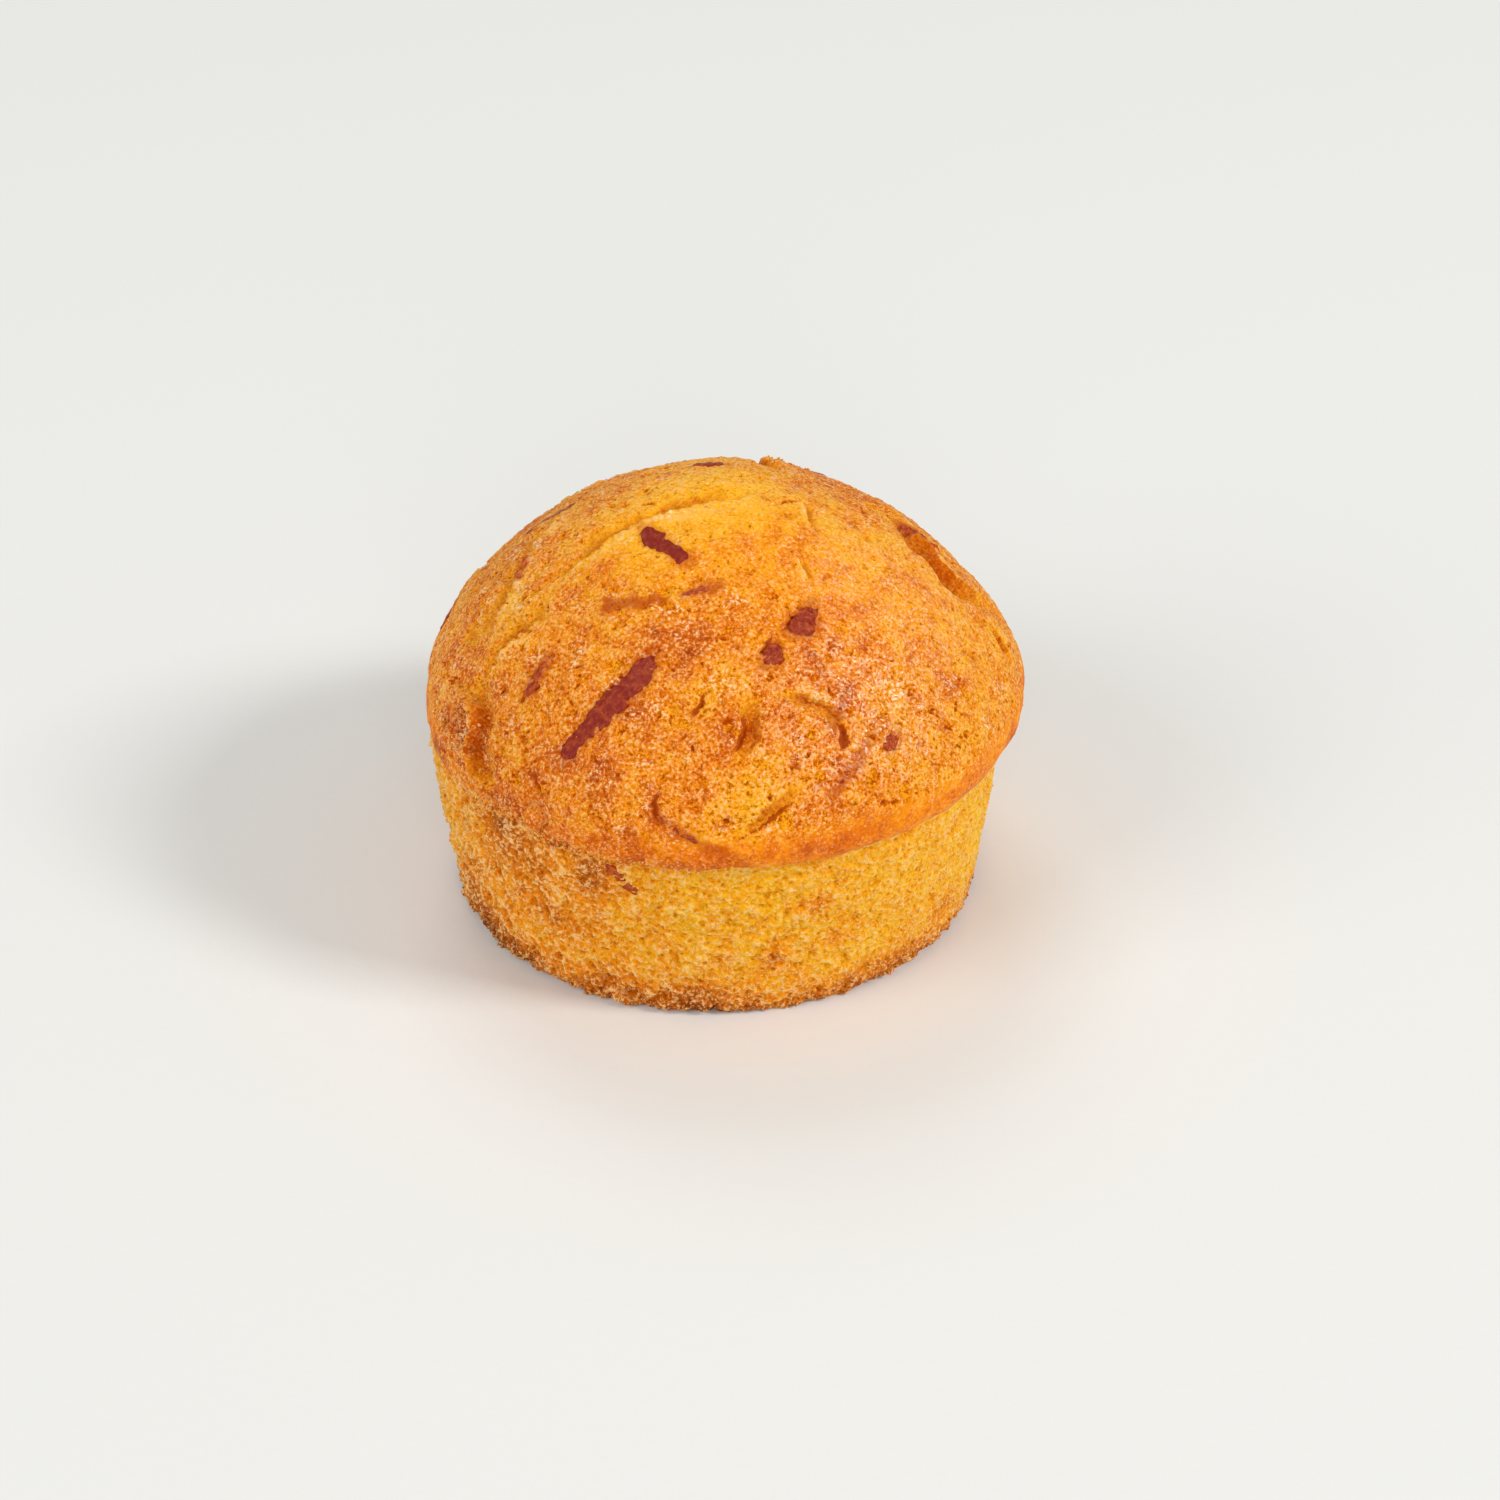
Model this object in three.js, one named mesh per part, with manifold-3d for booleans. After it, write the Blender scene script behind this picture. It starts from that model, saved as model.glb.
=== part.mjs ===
// A cornbread muffin that was baked in a round mould and turned out of it: a domed crust with folds where
// it split as it rose, dark red shreds baked into it, a porous tapering wall and a flat underside.
// Millimetres, +Z up, origin at the centre of the underside. The front of the muffin faces -Y.

import * as THREE from 'three';
import { mergeVertices } from 'three/addons/utils/BufferGeometryUtils.js';
import { ImprovedNoise } from 'three/addons/math/ImprovedNoise.js';
import Module from 'manifold-3d';

// Driving dimensions of the section, from the underside up
const BASE_RADIUS = 35.6;
const LIP_RADIUS = 39.2;
const LIP_HEIGHT = 25.6;
const WIDEST_RADIUS = 40.0;
const WIDEST_HEIGHT = 31.1;
const CROWN_HEIGHT = 58.7;
const BASE_EDGE = 0.6; // how far the underside's edge is worn round
const DOME_SHIFT = 1.1; // how far the dome sits to the right of the wall that it rose out of
const DOME_SHIFT_FROM = 21.0; // height at which the shift starts: it is complete at the widest circle

// The dome's section is a superellipse: these two exponents make it full at the shoulder, gentle on top
const DOME_SPREAD = 1.14;
const DOME_RISE = 1.44;

// The crust ends in a lip over the wall. LIP_ARC is how far down from the crown, measured over the crust
const LIP_ARC = 55.2;
const LIP_WANDER = 1.2; // the lip runs lower at the front left than at the back right
const LIP_LOW_AZIMUTH = -15;
const LIP_STEP = 0.55; // how far the wall stands in under the lip
const LIP_STEP_FADE = 5.0; // and how far down the wall has come out again
const LIP_ROLL = 0.3; // height of the roll that follows the lip
const LIP_ROLL_WIDTH = 1.6;

// Unevenness: the height and width of each kind of bump, and a shift that sets its pattern apart
const SWELLING = { height: 0.75, width: 21, shift: 0 };
const CRAGS = { height: 0.5, width: 7.5, shift: 3.7 };
const CRUMBS = { height: 0.38, width: 3.4, shift: 8.1 };
const BASE_CRUMBS = { height: 0.9, width: 4.2, shift: 1.9 }; // the crumbly brown edge round the underside
const BASE_CRUMBS_REACH = 4.0; // how far up the wall that edge reaches

// Mesh of the main solid
const MESH_STEP = 2.0; // side of a facet
const FEWEST_FACETS = 7; // round the crown
const BASE_RING_RADII = [27, 17, 8];
const BASE_RING_STEP = 3.2;

// Folds and cracks. A path runs over the crust through [azimuth, arc] points: azimuth in degrees from the
// front, positive to the right, and arc in millimetres from the crown. Beside the groove one side can be
// raised, left or right as seen by someone who looks at the path running downwards.
const FOLDS = [
  {
    name: 'left gully', width: 3.0, depth: 2.2, rise: 1.4, raised: 'right',
    path: [[-88, 27], [-79, 30.4], [-76, 33], [-75, 36.5]],
  },
  {
    name: 'left hollows', width: 4.0, depth: 1.1, rise: 0.0, raised: 'left',
    path: [[-62, 30.5], [-65, 35], [-67, 39]],
  },
  {
    name: 'left lobe', width: 3.0, depth: 1.8, rise: 1.1, raised: 'right',
    path: [[-66, 38.6], [-74, 42.4], [-75, 47], [-72, 51.5]],
  },
  {
    name: 'left crag', width: 3.0, depth: 1.2, rise: 1.3, raised: 'left',
    path: [[-65, 43.2], [-56, 45], [-53.8, 48], [-49, 51.5]],
  },
  {
    name: 'upper valley', width: 5.0, depth: 1.5, rise: 0.8, raised: 'right',
    path: [[-66, 22], [-77, 17.2], [-95, 10.3], [-128, 3.6]],
  },
  {
    name: 'left crease', width: 2.6, depth: 1.2, rise: 0.7, raised: 'left',
    path: [[-79, 25], [-67, 22.6], [-60, 21]],
  },
  {
    name: 'right crack', width: 2.6, depth: 1.3, rise: 0.7, raised: 'left',
    path: [[92, 9.6], [66, 12], [40, 16.4], [36, 19]],
  },
  {
    name: 'right ledge', width: 3.8, depth: 2.4, rise: 1.0, raised: 'left',
    path: [[112, 25.5], [95, 30.8], [90, 34.6], [94, 40.4], [103, 45]],
  },
  {
    name: 'right crease', width: 2.4, depth: 1.0, rise: 0.3, raised: 'right',
    path: [[85, 41.8], [83, 46.2]],
  },
  {
    name: 'front gully', width: 2.6, depth: 1.3, rise: 0.2, raised: 'left',
    path: [[5, 33.6], [6.2, 36.8], [3, 41.4]],
  },
  {
    name: 'right gully', width: 2.8, depth: 1.4, rise: 0.6, raised: 'left',
    path: [[13, 33], [20, 35.2], [29, 38.4]],
  },
  {
    name: 'front split', width: 2.8, depth: 1.4, rise: 0.4, raised: 'right',
    path: [[1.5, 50.8], [6.5, 49.3], [15.5, 46]],
  },
  {
    name: 'back valley', width: 3.8, depth: 1.7, rise: 1.0, raised: 'left',
    path: [[150, 12], [166, 20], [160, 31], [170, 40]],
  },
  {
    name: 'back crease', width: 3.0, depth: 1.4, rise: 0.9, raised: 'right',
    path: [[-150, 22], [-134, 30], [-128, 41]],
  },
  {
    name: 'back split', width: 2.8, depth: 1.3, rise: 0.5, raised: 'left',
    path: [[-112, 41], [-122, 47], [-137, 49]],
  },
  {
    name: 'back right split', width: 2.6, depth: 1.2, rise: 0.4, raised: 'left',
    path: [[129, 46], [143, 43]],
  },
];
const FOLD_SAMPLES = 16; // points in which a fold's path is measured
const FOLD_REACH = 3.2; // in widths: beyond this a fold has no effect

// Dark red shreds, laid on the crust or the wall along the same kind of path
const SHREDS = [
  { name: 'crown chunk', path: [[-56, 12.2], [-17.8, 14.4]], width: 3.0, rise: 0.8 },
  { name: 'long strip', path: [[-20.5, 29.9], [-26, 37], [-33.4, 43.6]], width: 3.2, rise: 0.45 },
  { name: 'faint strip', path: [[-40.6, 24], [-22.5, 20.6]], width: 2.0, rise: 0.3 },
  { name: 'faint tip', path: [[-16.2, 19.5], [-1.7, 17.8]], width: 1.5, rise: 0.4 },
  { name: 'right triangle', path: [[22.7, 24.6], [32.2, 23.0]], width: 2.8, rise: 0.5 },
  { name: 'small right', path: [[11.2, 28.9], [15.8, 26.8]], width: 1.9, rise: 0.45 },
  { name: 'small left', path: [[-48.1, 38.9], [-46.4, 33.6]], width: 2.0, rise: 0.4 },
  { name: 'right strip', path: [[20.8, 47.2], [30.9, 41.6]], width: 1.8, rise: 0.4 },
  { name: 'right blob', path: [[33.2, 43], [37.4, 42.4]], width: 2.2, rise: 0.55 },
  { name: 'lip strip', path: [[-12.6, 48.6], [-8, 49.6], [-0.6, 53]], width: 1.6, rise: 0.4 },
  { name: 'wall shred', path: [[-21.2, 58.2], [-15.6, 61.8]], width: 1.8, rise: 0.55 },
  { name: 'far left strip', path: [[-88, 27.6], [-80, 29.6]], width: 1.7, rise: 0.4 },
  { name: 'left edge shred', path: [[-104, 44], [-100, 48.4]], width: 2.2, rise: 0.5 },
  { name: 'far right strip', path: [[106.2, 26.3], [98.5, 32.6]], width: 2.0, rise: 0.45 },
  { name: 'crown back', path: [[-157.6, 11.1], [-180.8, 10.4]], width: 2.0, rise: 0.5 },
  { name: 'back strip', path: [[148, 27], [156, 36]], width: 2.6, rise: 0.45 },
  { name: 'back chunk', path: [[-168, 33], [-155, 38]], width: 2.8, rise: 0.6 },
  { name: 'back left strip', path: [[-122, 24], [-110, 31]], width: 2.2, rise: 0.4 },
  { name: 'back wall shred', path: [[160, 63], [167, 67]], width: 2.0, rise: 0.55 },
];
const SHRED_SINK = 1.2; // how deep a shred goes into the crust
const SHRED_FACETS = [5, 2, 1]; // along, across and through
const SHRED_END_TAPER = 0.45; // how much narrower a shred is at its ends
const SHRED_TOP = 0.8; // width of its top face against its foot
const SHRED_CROWN = 0.4; // how much higher its middle is than its edges, as a share of its rise
const SHRED_HEADING_STEP = 0.02; // share of its path over which its direction is measured
const SHRED_JITTER = 0.22; // millimetres by which its edges wander

const CRUST_COLOUR = '#d98b30';
const SEED = 20;

const perlin = new ImprovedNoise();
const DOME_HEIGHT = CROWN_HEIGHT - WIDEST_HEIGHT;
const profile = sectionProfile();
const profileLength = profile.getLength();

/** The dome in section, from the crown out and down to the widest circle. */
function domeCurve() {
  const curve = new THREE.Curve();
  curve.getPoint = (t, target = new THREE.Vector2()) => {
    const lift = (1 - t) * Math.PI / 2;
    const radius = WIDEST_RADIUS * Math.max(Math.cos(lift), 0) ** DOME_SPREAD;
    const height = WIDEST_HEIGHT + DOME_HEIGHT * Math.sin(lift) ** DOME_RISE;
    return target.set(radius, height);
  };
  return curve;
}

/** The whole section: dome, the turn under it to the lip, and the straight wall of the mould. */
function sectionProfile() {
  const turn = new THREE.EllipseCurve(
    LIP_RADIUS, WIDEST_HEIGHT, WIDEST_RADIUS - LIP_RADIUS, WIDEST_HEIGHT - LIP_HEIGHT, 0, -Math.PI / 2, true,
  );
  const lip = new THREE.Vector2(LIP_RADIUS, LIP_HEIGHT);
  const foot = new THREE.Vector2(BASE_RADIUS, 0);
  const path = new THREE.CurvePath();
  path.add(domeCurve());
  path.add(turn);
  path.add(new THREE.LineCurve(lip, foot));
  return path;
}

/** A repeatable stream of numbers from 0 to 1. */
function randomStream(seed) {
  let state = seed;
  return () => {
    state = (state * 1664525 + 1013904223) % 4294967296;
    return state / 4294967296;
  };
}

/** Position and outward normal on the smooth form, before any relief. */
function smoothSpot(azimuth, arc) {
  const t = THREE.MathUtils.clamp(arc / profileLength, 0, 1);
  const section = profile.getPoint(t);
  const along = profile.getTangent(t);
  const turn = THREE.MathUtils.degToRad(azimuth);
  const outward = new THREE.Vector3(Math.sin(turn), -Math.cos(turn), 0);
  const position = outward.clone().multiplyScalar(section.x).setZ(section.y);
  position.x += DOME_SHIFT * THREE.MathUtils.smoothstep(section.y, DOME_SHIFT_FROM, WIDEST_HEIGHT);
  const normal = outward.multiplyScalar(-along.y).setZ(along.x).normalize();
  return { position, normal };
}

/** The [azimuth, arc] reached after a share t of a path. */
function alongPath(path, t) {
  const reach = t * (path.length - 1);
  const index = Math.min(Math.floor(reach), path.length - 2);
  const part = reach - index;
  return path[index].map((value, axis) => THREE.MathUtils.lerp(value, path[index + 1][axis], part));
}

/** Smooth bumps of one kind, at a point. */
function bumps({ height, width, shift }, point) {
  return height * perlin.noise(point.x / width + shift, point.y / width - shift, point.z / width + shift);
}

/** How far down from the crown the crust's lip lies at an azimuth. */
function lipArc(azimuth) {
  return LIP_ARC + LIP_WANDER * Math.cos(THREE.MathUtils.degToRad(azimuth - LIP_LOW_AZIMUTH));
}

/** A fold with its path measured on the smooth form. */
function measuredFold(fold) {
  const spots = Array.from({ length: FOLD_SAMPLES }, (_, index) => {
    return smoothSpot(...alongPath(fold.path, index / (FOLD_SAMPLES - 1))).position;
  });
  return { ...fold, spots, side: fold.raised === 'right' ? 1 : -1 };
}

const folds = FOLDS.map(measuredFold);

/** Signed distance from a fold's path, positive on its right, and the share of the path that is nearest. */
function besideFold(fold, position, normal) {
  const stretch = new THREE.Line3();
  const nearest = new THREE.Vector3();
  const offset = new THREE.Vector3();
  const heading = new THREE.Vector3();
  let best = { distance: Infinity, share: 0 };
  for (let index = 0; index < fold.spots.length - 1; index += 1) {
    stretch.set(fold.spots[index], fold.spots[index + 1]);
    const part = stretch.closestPointToPointParameter(position, true);
    stretch.at(part, nearest);
    const away = position.distanceTo(nearest);
    if (away < Math.abs(best.distance)) {
      offset.subVectors(position, nearest);
      stretch.delta(heading);
      const sign = offset.dot(heading.crossVectors(normal, heading)) < 0 ? -1 : 1;
      best = { distance: sign * away, share: (index + part) / (fold.spots.length - 1) };
    }
  }
  return best;
}

/** The groove of a fold and the edge that stands up beside it. */
function foldHeight(fold, position, normal) {
  const { distance, share } = besideFold(fold, position, normal);
  const across = distance / fold.width;
  if (Math.abs(across) > FOLD_REACH) {
    return 0;
  }
  const taper = Math.sqrt(Math.max(Math.sin(Math.PI * share), 0));
  const groove = fold.depth * Math.exp(-((2 * across) ** 2));
  const edge = fold.rise * Math.exp(-((across - fold.side) ** 2));
  return taper * (edge - groove);
}

/** Height of the crust above the smooth form: broad swellings, crags, folds and the roll along the lip. */
function crustHeight(position, normal, belowLip) {
  const roll = LIP_ROLL * Math.exp(-(((belowLip + LIP_ROLL_WIDTH) / LIP_ROLL_WIDTH) ** 2));
  const split = folds.reduce((sum, fold) => sum + foldHeight(fold, position, normal), 0);
  return roll + split + bumps(CRAGS, position);
}

/** Height of the wall: it stands in under the lip, and gets crumbly towards the underside. */
function wallHeight(position, belowLip) {
  const step = -LIP_STEP * Math.exp(-belowLip / LIP_STEP_FADE);
  const low = Math.max(1 - position.z / BASE_CRUMBS_REACH, 0);
  return step + bumps(CRUMBS, position) + low * bumps(BASE_CRUMBS, position);
}

/** Position and normal on the finished surface. */
function surfaceSpot(azimuth, arc) {
  const { position, normal } = smoothSpot(azimuth, arc);
  const belowLip = arc - lipArc(azimuth);
  const swelling = bumps(SWELLING, position) * Math.min(position.z / LIP_HEIGHT, 1);
  const relief = belowLip < 0 ? crustHeight(position, normal, belowLip) : wallHeight(position, belowLip);
  position.addScaledVector(normal, swelling + relief);
  return { position, normal };
}

/** A ring of points round the muffin, about one step apart, that starts at the back. */
function ring(radius, step, pointAt) {
  const count = radius > 0 ? Math.max(Math.round(2 * Math.PI * radius / step), FEWEST_FACETS) : 1;
  return Array.from({ length: count }, (_, index) => pointAt(180 + 360 * index / count));
}

/** All rings from the crown over the wall to the centre of the underside. */
function bodyRings() {
  const edgeArc = profileLength - BASE_EDGE;
  const steps = Math.round(edgeArc / MESH_STEP);
  const rings = [];
  for (let index = 0; index <= steps; index += 1) {
    const arc = edgeArc * index / steps;
    const radius = profile.getPoint(arc / profileLength).x;
    rings.push(ring(index ? radius : 0, MESH_STEP, (azimuth) => surfaceSpot(azimuth, arc).position));
  }
  const rim = rings.at(-1);
  const inset = 1 - BASE_EDGE / BASE_RADIUS;
  rings.push(rim.map((point) => new THREE.Vector3(point.x * inset, point.y * inset, 0)));
  for (const radius of [...BASE_RING_RADII, 0]) {
    rings.push(ring(radius, BASE_RING_STEP, (azimuth) => {
      const turn = THREE.MathUtils.degToRad(azimuth);
      return new THREE.Vector3(radius * Math.sin(turn), -radius * Math.cos(turn), 0);
    }));
  }
  return rings;
}

/** Triangles between two neighbouring rings, which may have different numbers of points. */
function stitch(indices, inner, outer) {
  let i = inner.count > 1 ? 0 : 1;
  let o = outer.count > 1 ? 0 : 1;
  while (i < inner.count || o < outer.count) {
    const here = inner.start + i % inner.count;
    const there = outer.start + o % outer.count;
    const innerIsNext = (i + 1) / inner.count < (o + 1) / outer.count;
    if (o === outer.count || (i < inner.count && innerIsNext)) {
      i += 1;
      indices.push(here, there, inner.start + i % inner.count);
    } else {
      o += 1;
      indices.push(here, there, outer.start + o % outer.count);
    }
  }
}

/** The bread itself, as one closed mesh. */
function bodyGeometry() {
  const rings = bodyRings();
  const indices = [];
  let start = 0;
  rings.forEach((points, index) => {
    if (index > 0) {
      const before = rings[index - 1].length;
      stitch(indices, { start: start - before, count: before }, { start, count: points.length });
    }
    start += points.length;
  });
  const geometry = new THREE.BufferGeometry().setFromPoints(rings.flat());
  geometry.setIndex(indices);
  return geometry;
}

/** One shred: a thin box bent over the crust, narrower at its ends, with a slightly crowned top. */
function shredGeometry(shred, random) {
  const box = new THREE.BoxGeometry(1, 1, 1, ...SHRED_FACETS);
  box.deleteAttribute('normal');
  box.deleteAttribute('uv');
  const geometry = mergeVertices(box);
  const corners = geometry.attributes.position;
  for (let index = 0; index < corners.count; index += 1) {
    const share = corners.getX(index) + 0.5;
    const across = corners.getY(index) * 2;
    const onTop = corners.getZ(index) > 0;
    const { position, normal } = surfaceSpot(...alongPath(shred.path, share));
    const before = surfaceSpot(...alongPath(shred.path, Math.max(share - SHRED_HEADING_STEP, 0)));
    const after = surfaceSpot(...alongPath(shred.path, Math.min(share + SHRED_HEADING_STEP, 1)));
    const heading = after.position.sub(before.position).normalize();
    const sideways = new THREE.Vector3().crossVectors(normal, heading).normalize();
    const taper = 1 - SHRED_END_TAPER * Math.abs(2 * share - 1) ** 3;
    const half = shred.width / 2 * taper * (onTop ? SHRED_TOP : 1);
    const crown = 1 + SHRED_CROWN * (0.5 - across * across);
    const lift = onTop ? shred.rise * crown : -SHRED_SINK;
    position.addScaledVector(sideways, across * half + SHRED_JITTER * (random() - 0.5));
    position.addScaledVector(normal, lift);
    corners.setXYZ(index, position.x, position.y, position.z);
  }
  return geometry;
}

/** A manifold solid from a closed indexed geometry. */
function solidFrom(wasm, geometry) {
  const mesh = new wasm.Mesh({
    numProp: 3,
    vertProperties: new Float32Array(geometry.attributes.position.array),
    triVerts: new Uint32Array(geometry.index.array),
  });
  return new wasm.Manifold(mesh);
}

/** A three.js geometry from a manifold solid. */
function geometryFrom(solid) {
  const mesh = solid.getMesh();
  const geometry = new THREE.BufferGeometry();
  geometry.setAttribute('position', new THREE.BufferAttribute(mesh.vertProperties, 3));
  geometry.setIndex(new THREE.BufferAttribute(mesh.triVerts, 1));
  geometry.computeVertexNormals();
  return geometry;
}

const wasm = await Module();
wasm.setup();

/** The bread with its shreds fused to it. */
function muffin() {
  const random = randomStream(SEED);
  let solid = solidFrom(wasm, bodyGeometry());
  for (const shred of SHREDS) {
    solid = solid.add(solidFrom(wasm, shredGeometry(shred, random)));
  }
  const material = new THREE.MeshStandardMaterial({ color: CRUST_COLOUR, roughness: 0.75, metalness: 0 });
  const mesh = new THREE.Mesh(geometryFrom(solid), material);
  mesh.name = 'muffin';
  return mesh;
}

const group = new THREE.Group();
group.add(muffin());

export default group;
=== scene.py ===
# %% [markdown]
# # A cornbread muffin
#
# A muffin that was baked in a round mould and turned out of it. Three things meet the eye: a thin golden
# crust over the dome, with folds where it split as it rose, the open yellow crumb of the wall, and dark red
# shreds that were baked into both. Each becomes a piece of its own, because each has its own surface.
#
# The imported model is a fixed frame. It holds the muffin as one plain solid, and these pieces stand for it.

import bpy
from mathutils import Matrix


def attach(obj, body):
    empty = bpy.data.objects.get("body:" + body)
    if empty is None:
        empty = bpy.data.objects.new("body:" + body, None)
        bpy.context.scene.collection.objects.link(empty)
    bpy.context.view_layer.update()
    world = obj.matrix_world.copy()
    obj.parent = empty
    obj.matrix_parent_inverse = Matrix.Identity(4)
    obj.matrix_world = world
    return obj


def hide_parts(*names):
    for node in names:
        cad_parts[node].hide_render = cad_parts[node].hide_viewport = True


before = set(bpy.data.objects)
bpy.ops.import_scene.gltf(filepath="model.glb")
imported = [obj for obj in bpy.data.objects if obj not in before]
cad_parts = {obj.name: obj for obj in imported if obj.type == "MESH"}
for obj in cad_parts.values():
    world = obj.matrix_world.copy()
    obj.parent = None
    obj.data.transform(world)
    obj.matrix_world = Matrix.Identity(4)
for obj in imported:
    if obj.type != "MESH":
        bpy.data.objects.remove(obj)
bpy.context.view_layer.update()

# %% Modules and the unit
import math
from functools import partial

import bmesh
import bpy
import numpy as np
from mathutils import Matrix, Vector, noise
from mathutils.kdtree import KDTree

MM = 0.001
SEED = 20
scatter_random = np.random.default_rng(SEED)
# noise_vector takes its offsets from the clock, unless the noise has a seed.
noise.seed_set(SEED)
print("one millimetre is", MM, "m, and everything random starts from seed", SEED)

# %% [markdown]
# ## The form
#
# A mould and a rising dome both make turned forms, so a turned section carries everything. It is worked out
# in millimetres from a few sizes: the dome is a superellipse, the turn under it a quarter of an ellipse, the
# wall a straight line. A place on it is then an azimuth, in degrees from the front and positive to the right,
# and an arc, in millimetres from the crown over the crust. Every piece uses it, so they meet without fitting.

# %% The section from the crown to the foot of the wall
BASE_RADIUS = 35.6
LIP_RADIUS = 39.2
LIP_HEIGHT = 25.6
WIDEST_RADIUS = 40.0
WIDEST_HEIGHT = 31.1
CROWN_HEIGHT = 58.7
DOME_SPREAD = 1.14
DOME_RISE = 1.44
SECTION_STEPS = 400
ARC_STEP = 0.1


def section_outline():
    """Points (radius, height) from the crown down."""
    points = []
    for index in range(SECTION_STEPS + 1):
        lift = (1 - index / SECTION_STEPS) * math.pi / 2
        radius = WIDEST_RADIUS * max(math.cos(lift), 0) ** DOME_SPREAD
        points.append((radius, WIDEST_HEIGHT + (CROWN_HEIGHT - WIDEST_HEIGHT) * math.sin(lift) ** DOME_RISE))
    for index in range(1, SECTION_STEPS + 1):
        turn = index / SECTION_STEPS * math.pi / 2
        radius = LIP_RADIUS + (WIDEST_RADIUS - LIP_RADIUS) * math.cos(turn)
        points.append((radius, WIDEST_HEIGHT + (LIP_HEIGHT - WIDEST_HEIGHT) * math.sin(turn)))
    points.append((BASE_RADIUS, 0.0))
    return points


def even_section():
    """The outline again, with a point at every ARC_STEP of its length."""
    outline = section_outline()
    evenly, walked = [outline[0]], 0.0
    for (r0, z0), (r1, z1) in zip(outline, outline[1:]):
        length = math.hypot(r1 - r0, z1 - z0)
        while len(evenly) * ARC_STEP <= walked + length:
            part = (len(evenly) * ARC_STEP - walked) / length
            evenly.append((r0 + (r1 - r0) * part, z0 + (z1 - z0) * part))
        walked += length
    return evenly, walked


SECTION, WHOLE_ARC = even_section()
WIDEST_ARC = ARC_STEP * max(range(len(SECTION)), key=lambda index: SECTION[index][0])
print("section: %.1f mm long, widest at %.1f mm" % (WHOLE_ARC, WIDEST_ARC))

# %% From azimuth and arc to a place on the surface
# The dome leans to the right of the wall by this much, from this height upwards.
DOME_SHIFT = 1.1
DOME_SHIFT_FROM = 21.0


def smooth(low, high, value):
    """0 at low and before, 1 at high and beyond, and a soft step between."""
    share = min(max((value - low) / (high - low), 0.0), 1.0)
    return share * share * (3 - 2 * share)


def surface(azimuth, arc):
    """Position and outward normal on the smooth form, in millimetres."""
    reach = min(max(arc / ARC_STEP, 0.0), len(SECTION) - 1.001)
    index = int(reach)
    (r0, z0), (r1, z1) = SECTION[index], SECTION[index + 1]
    radius, height = r0 + (r1 - r0) * (reach - index), z0 + (z1 - z0) * (reach - index)
    turn = math.radians(azimuth)
    right, front = math.sin(turn), -math.cos(turn)
    shift = DOME_SHIFT * smooth(DOME_SHIFT_FROM, WIDEST_HEIGHT, height)
    place = Vector((radius * right + shift, radius * front, height))
    return place, Vector((right * (z0 - z1), front * (z0 - z1), r1 - r0)).normalized()


def along(path, share):
    """The (azimuth, arc) reached after a share of a path."""
    reach = share * (len(path) - 1)
    index = min(int(reach), len(path) - 2)
    return [a + (b - a) * (reach - index) for a, b in zip(path[index], path[index + 1])]


# %% [markdown]
# ## Folds, cracks and dents
#
# As the batter rose, its crust tore and slid over itself. At such a fold one side stands up as a torn plate,
# a bare slope leads down from it, and the other side dips. Sculpting them would be one way. Here each is a
# path over the crust with a few sizes, and a vertex asks how far it lies from the path. A k-d tree answers
# that quickly for many vertices, and noise tears the edge. Where a bubble burst, the crust has a smooth dent.

# %% The folds
RIGHT, LEFT, NEITHER = 1, -1, 0
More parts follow.
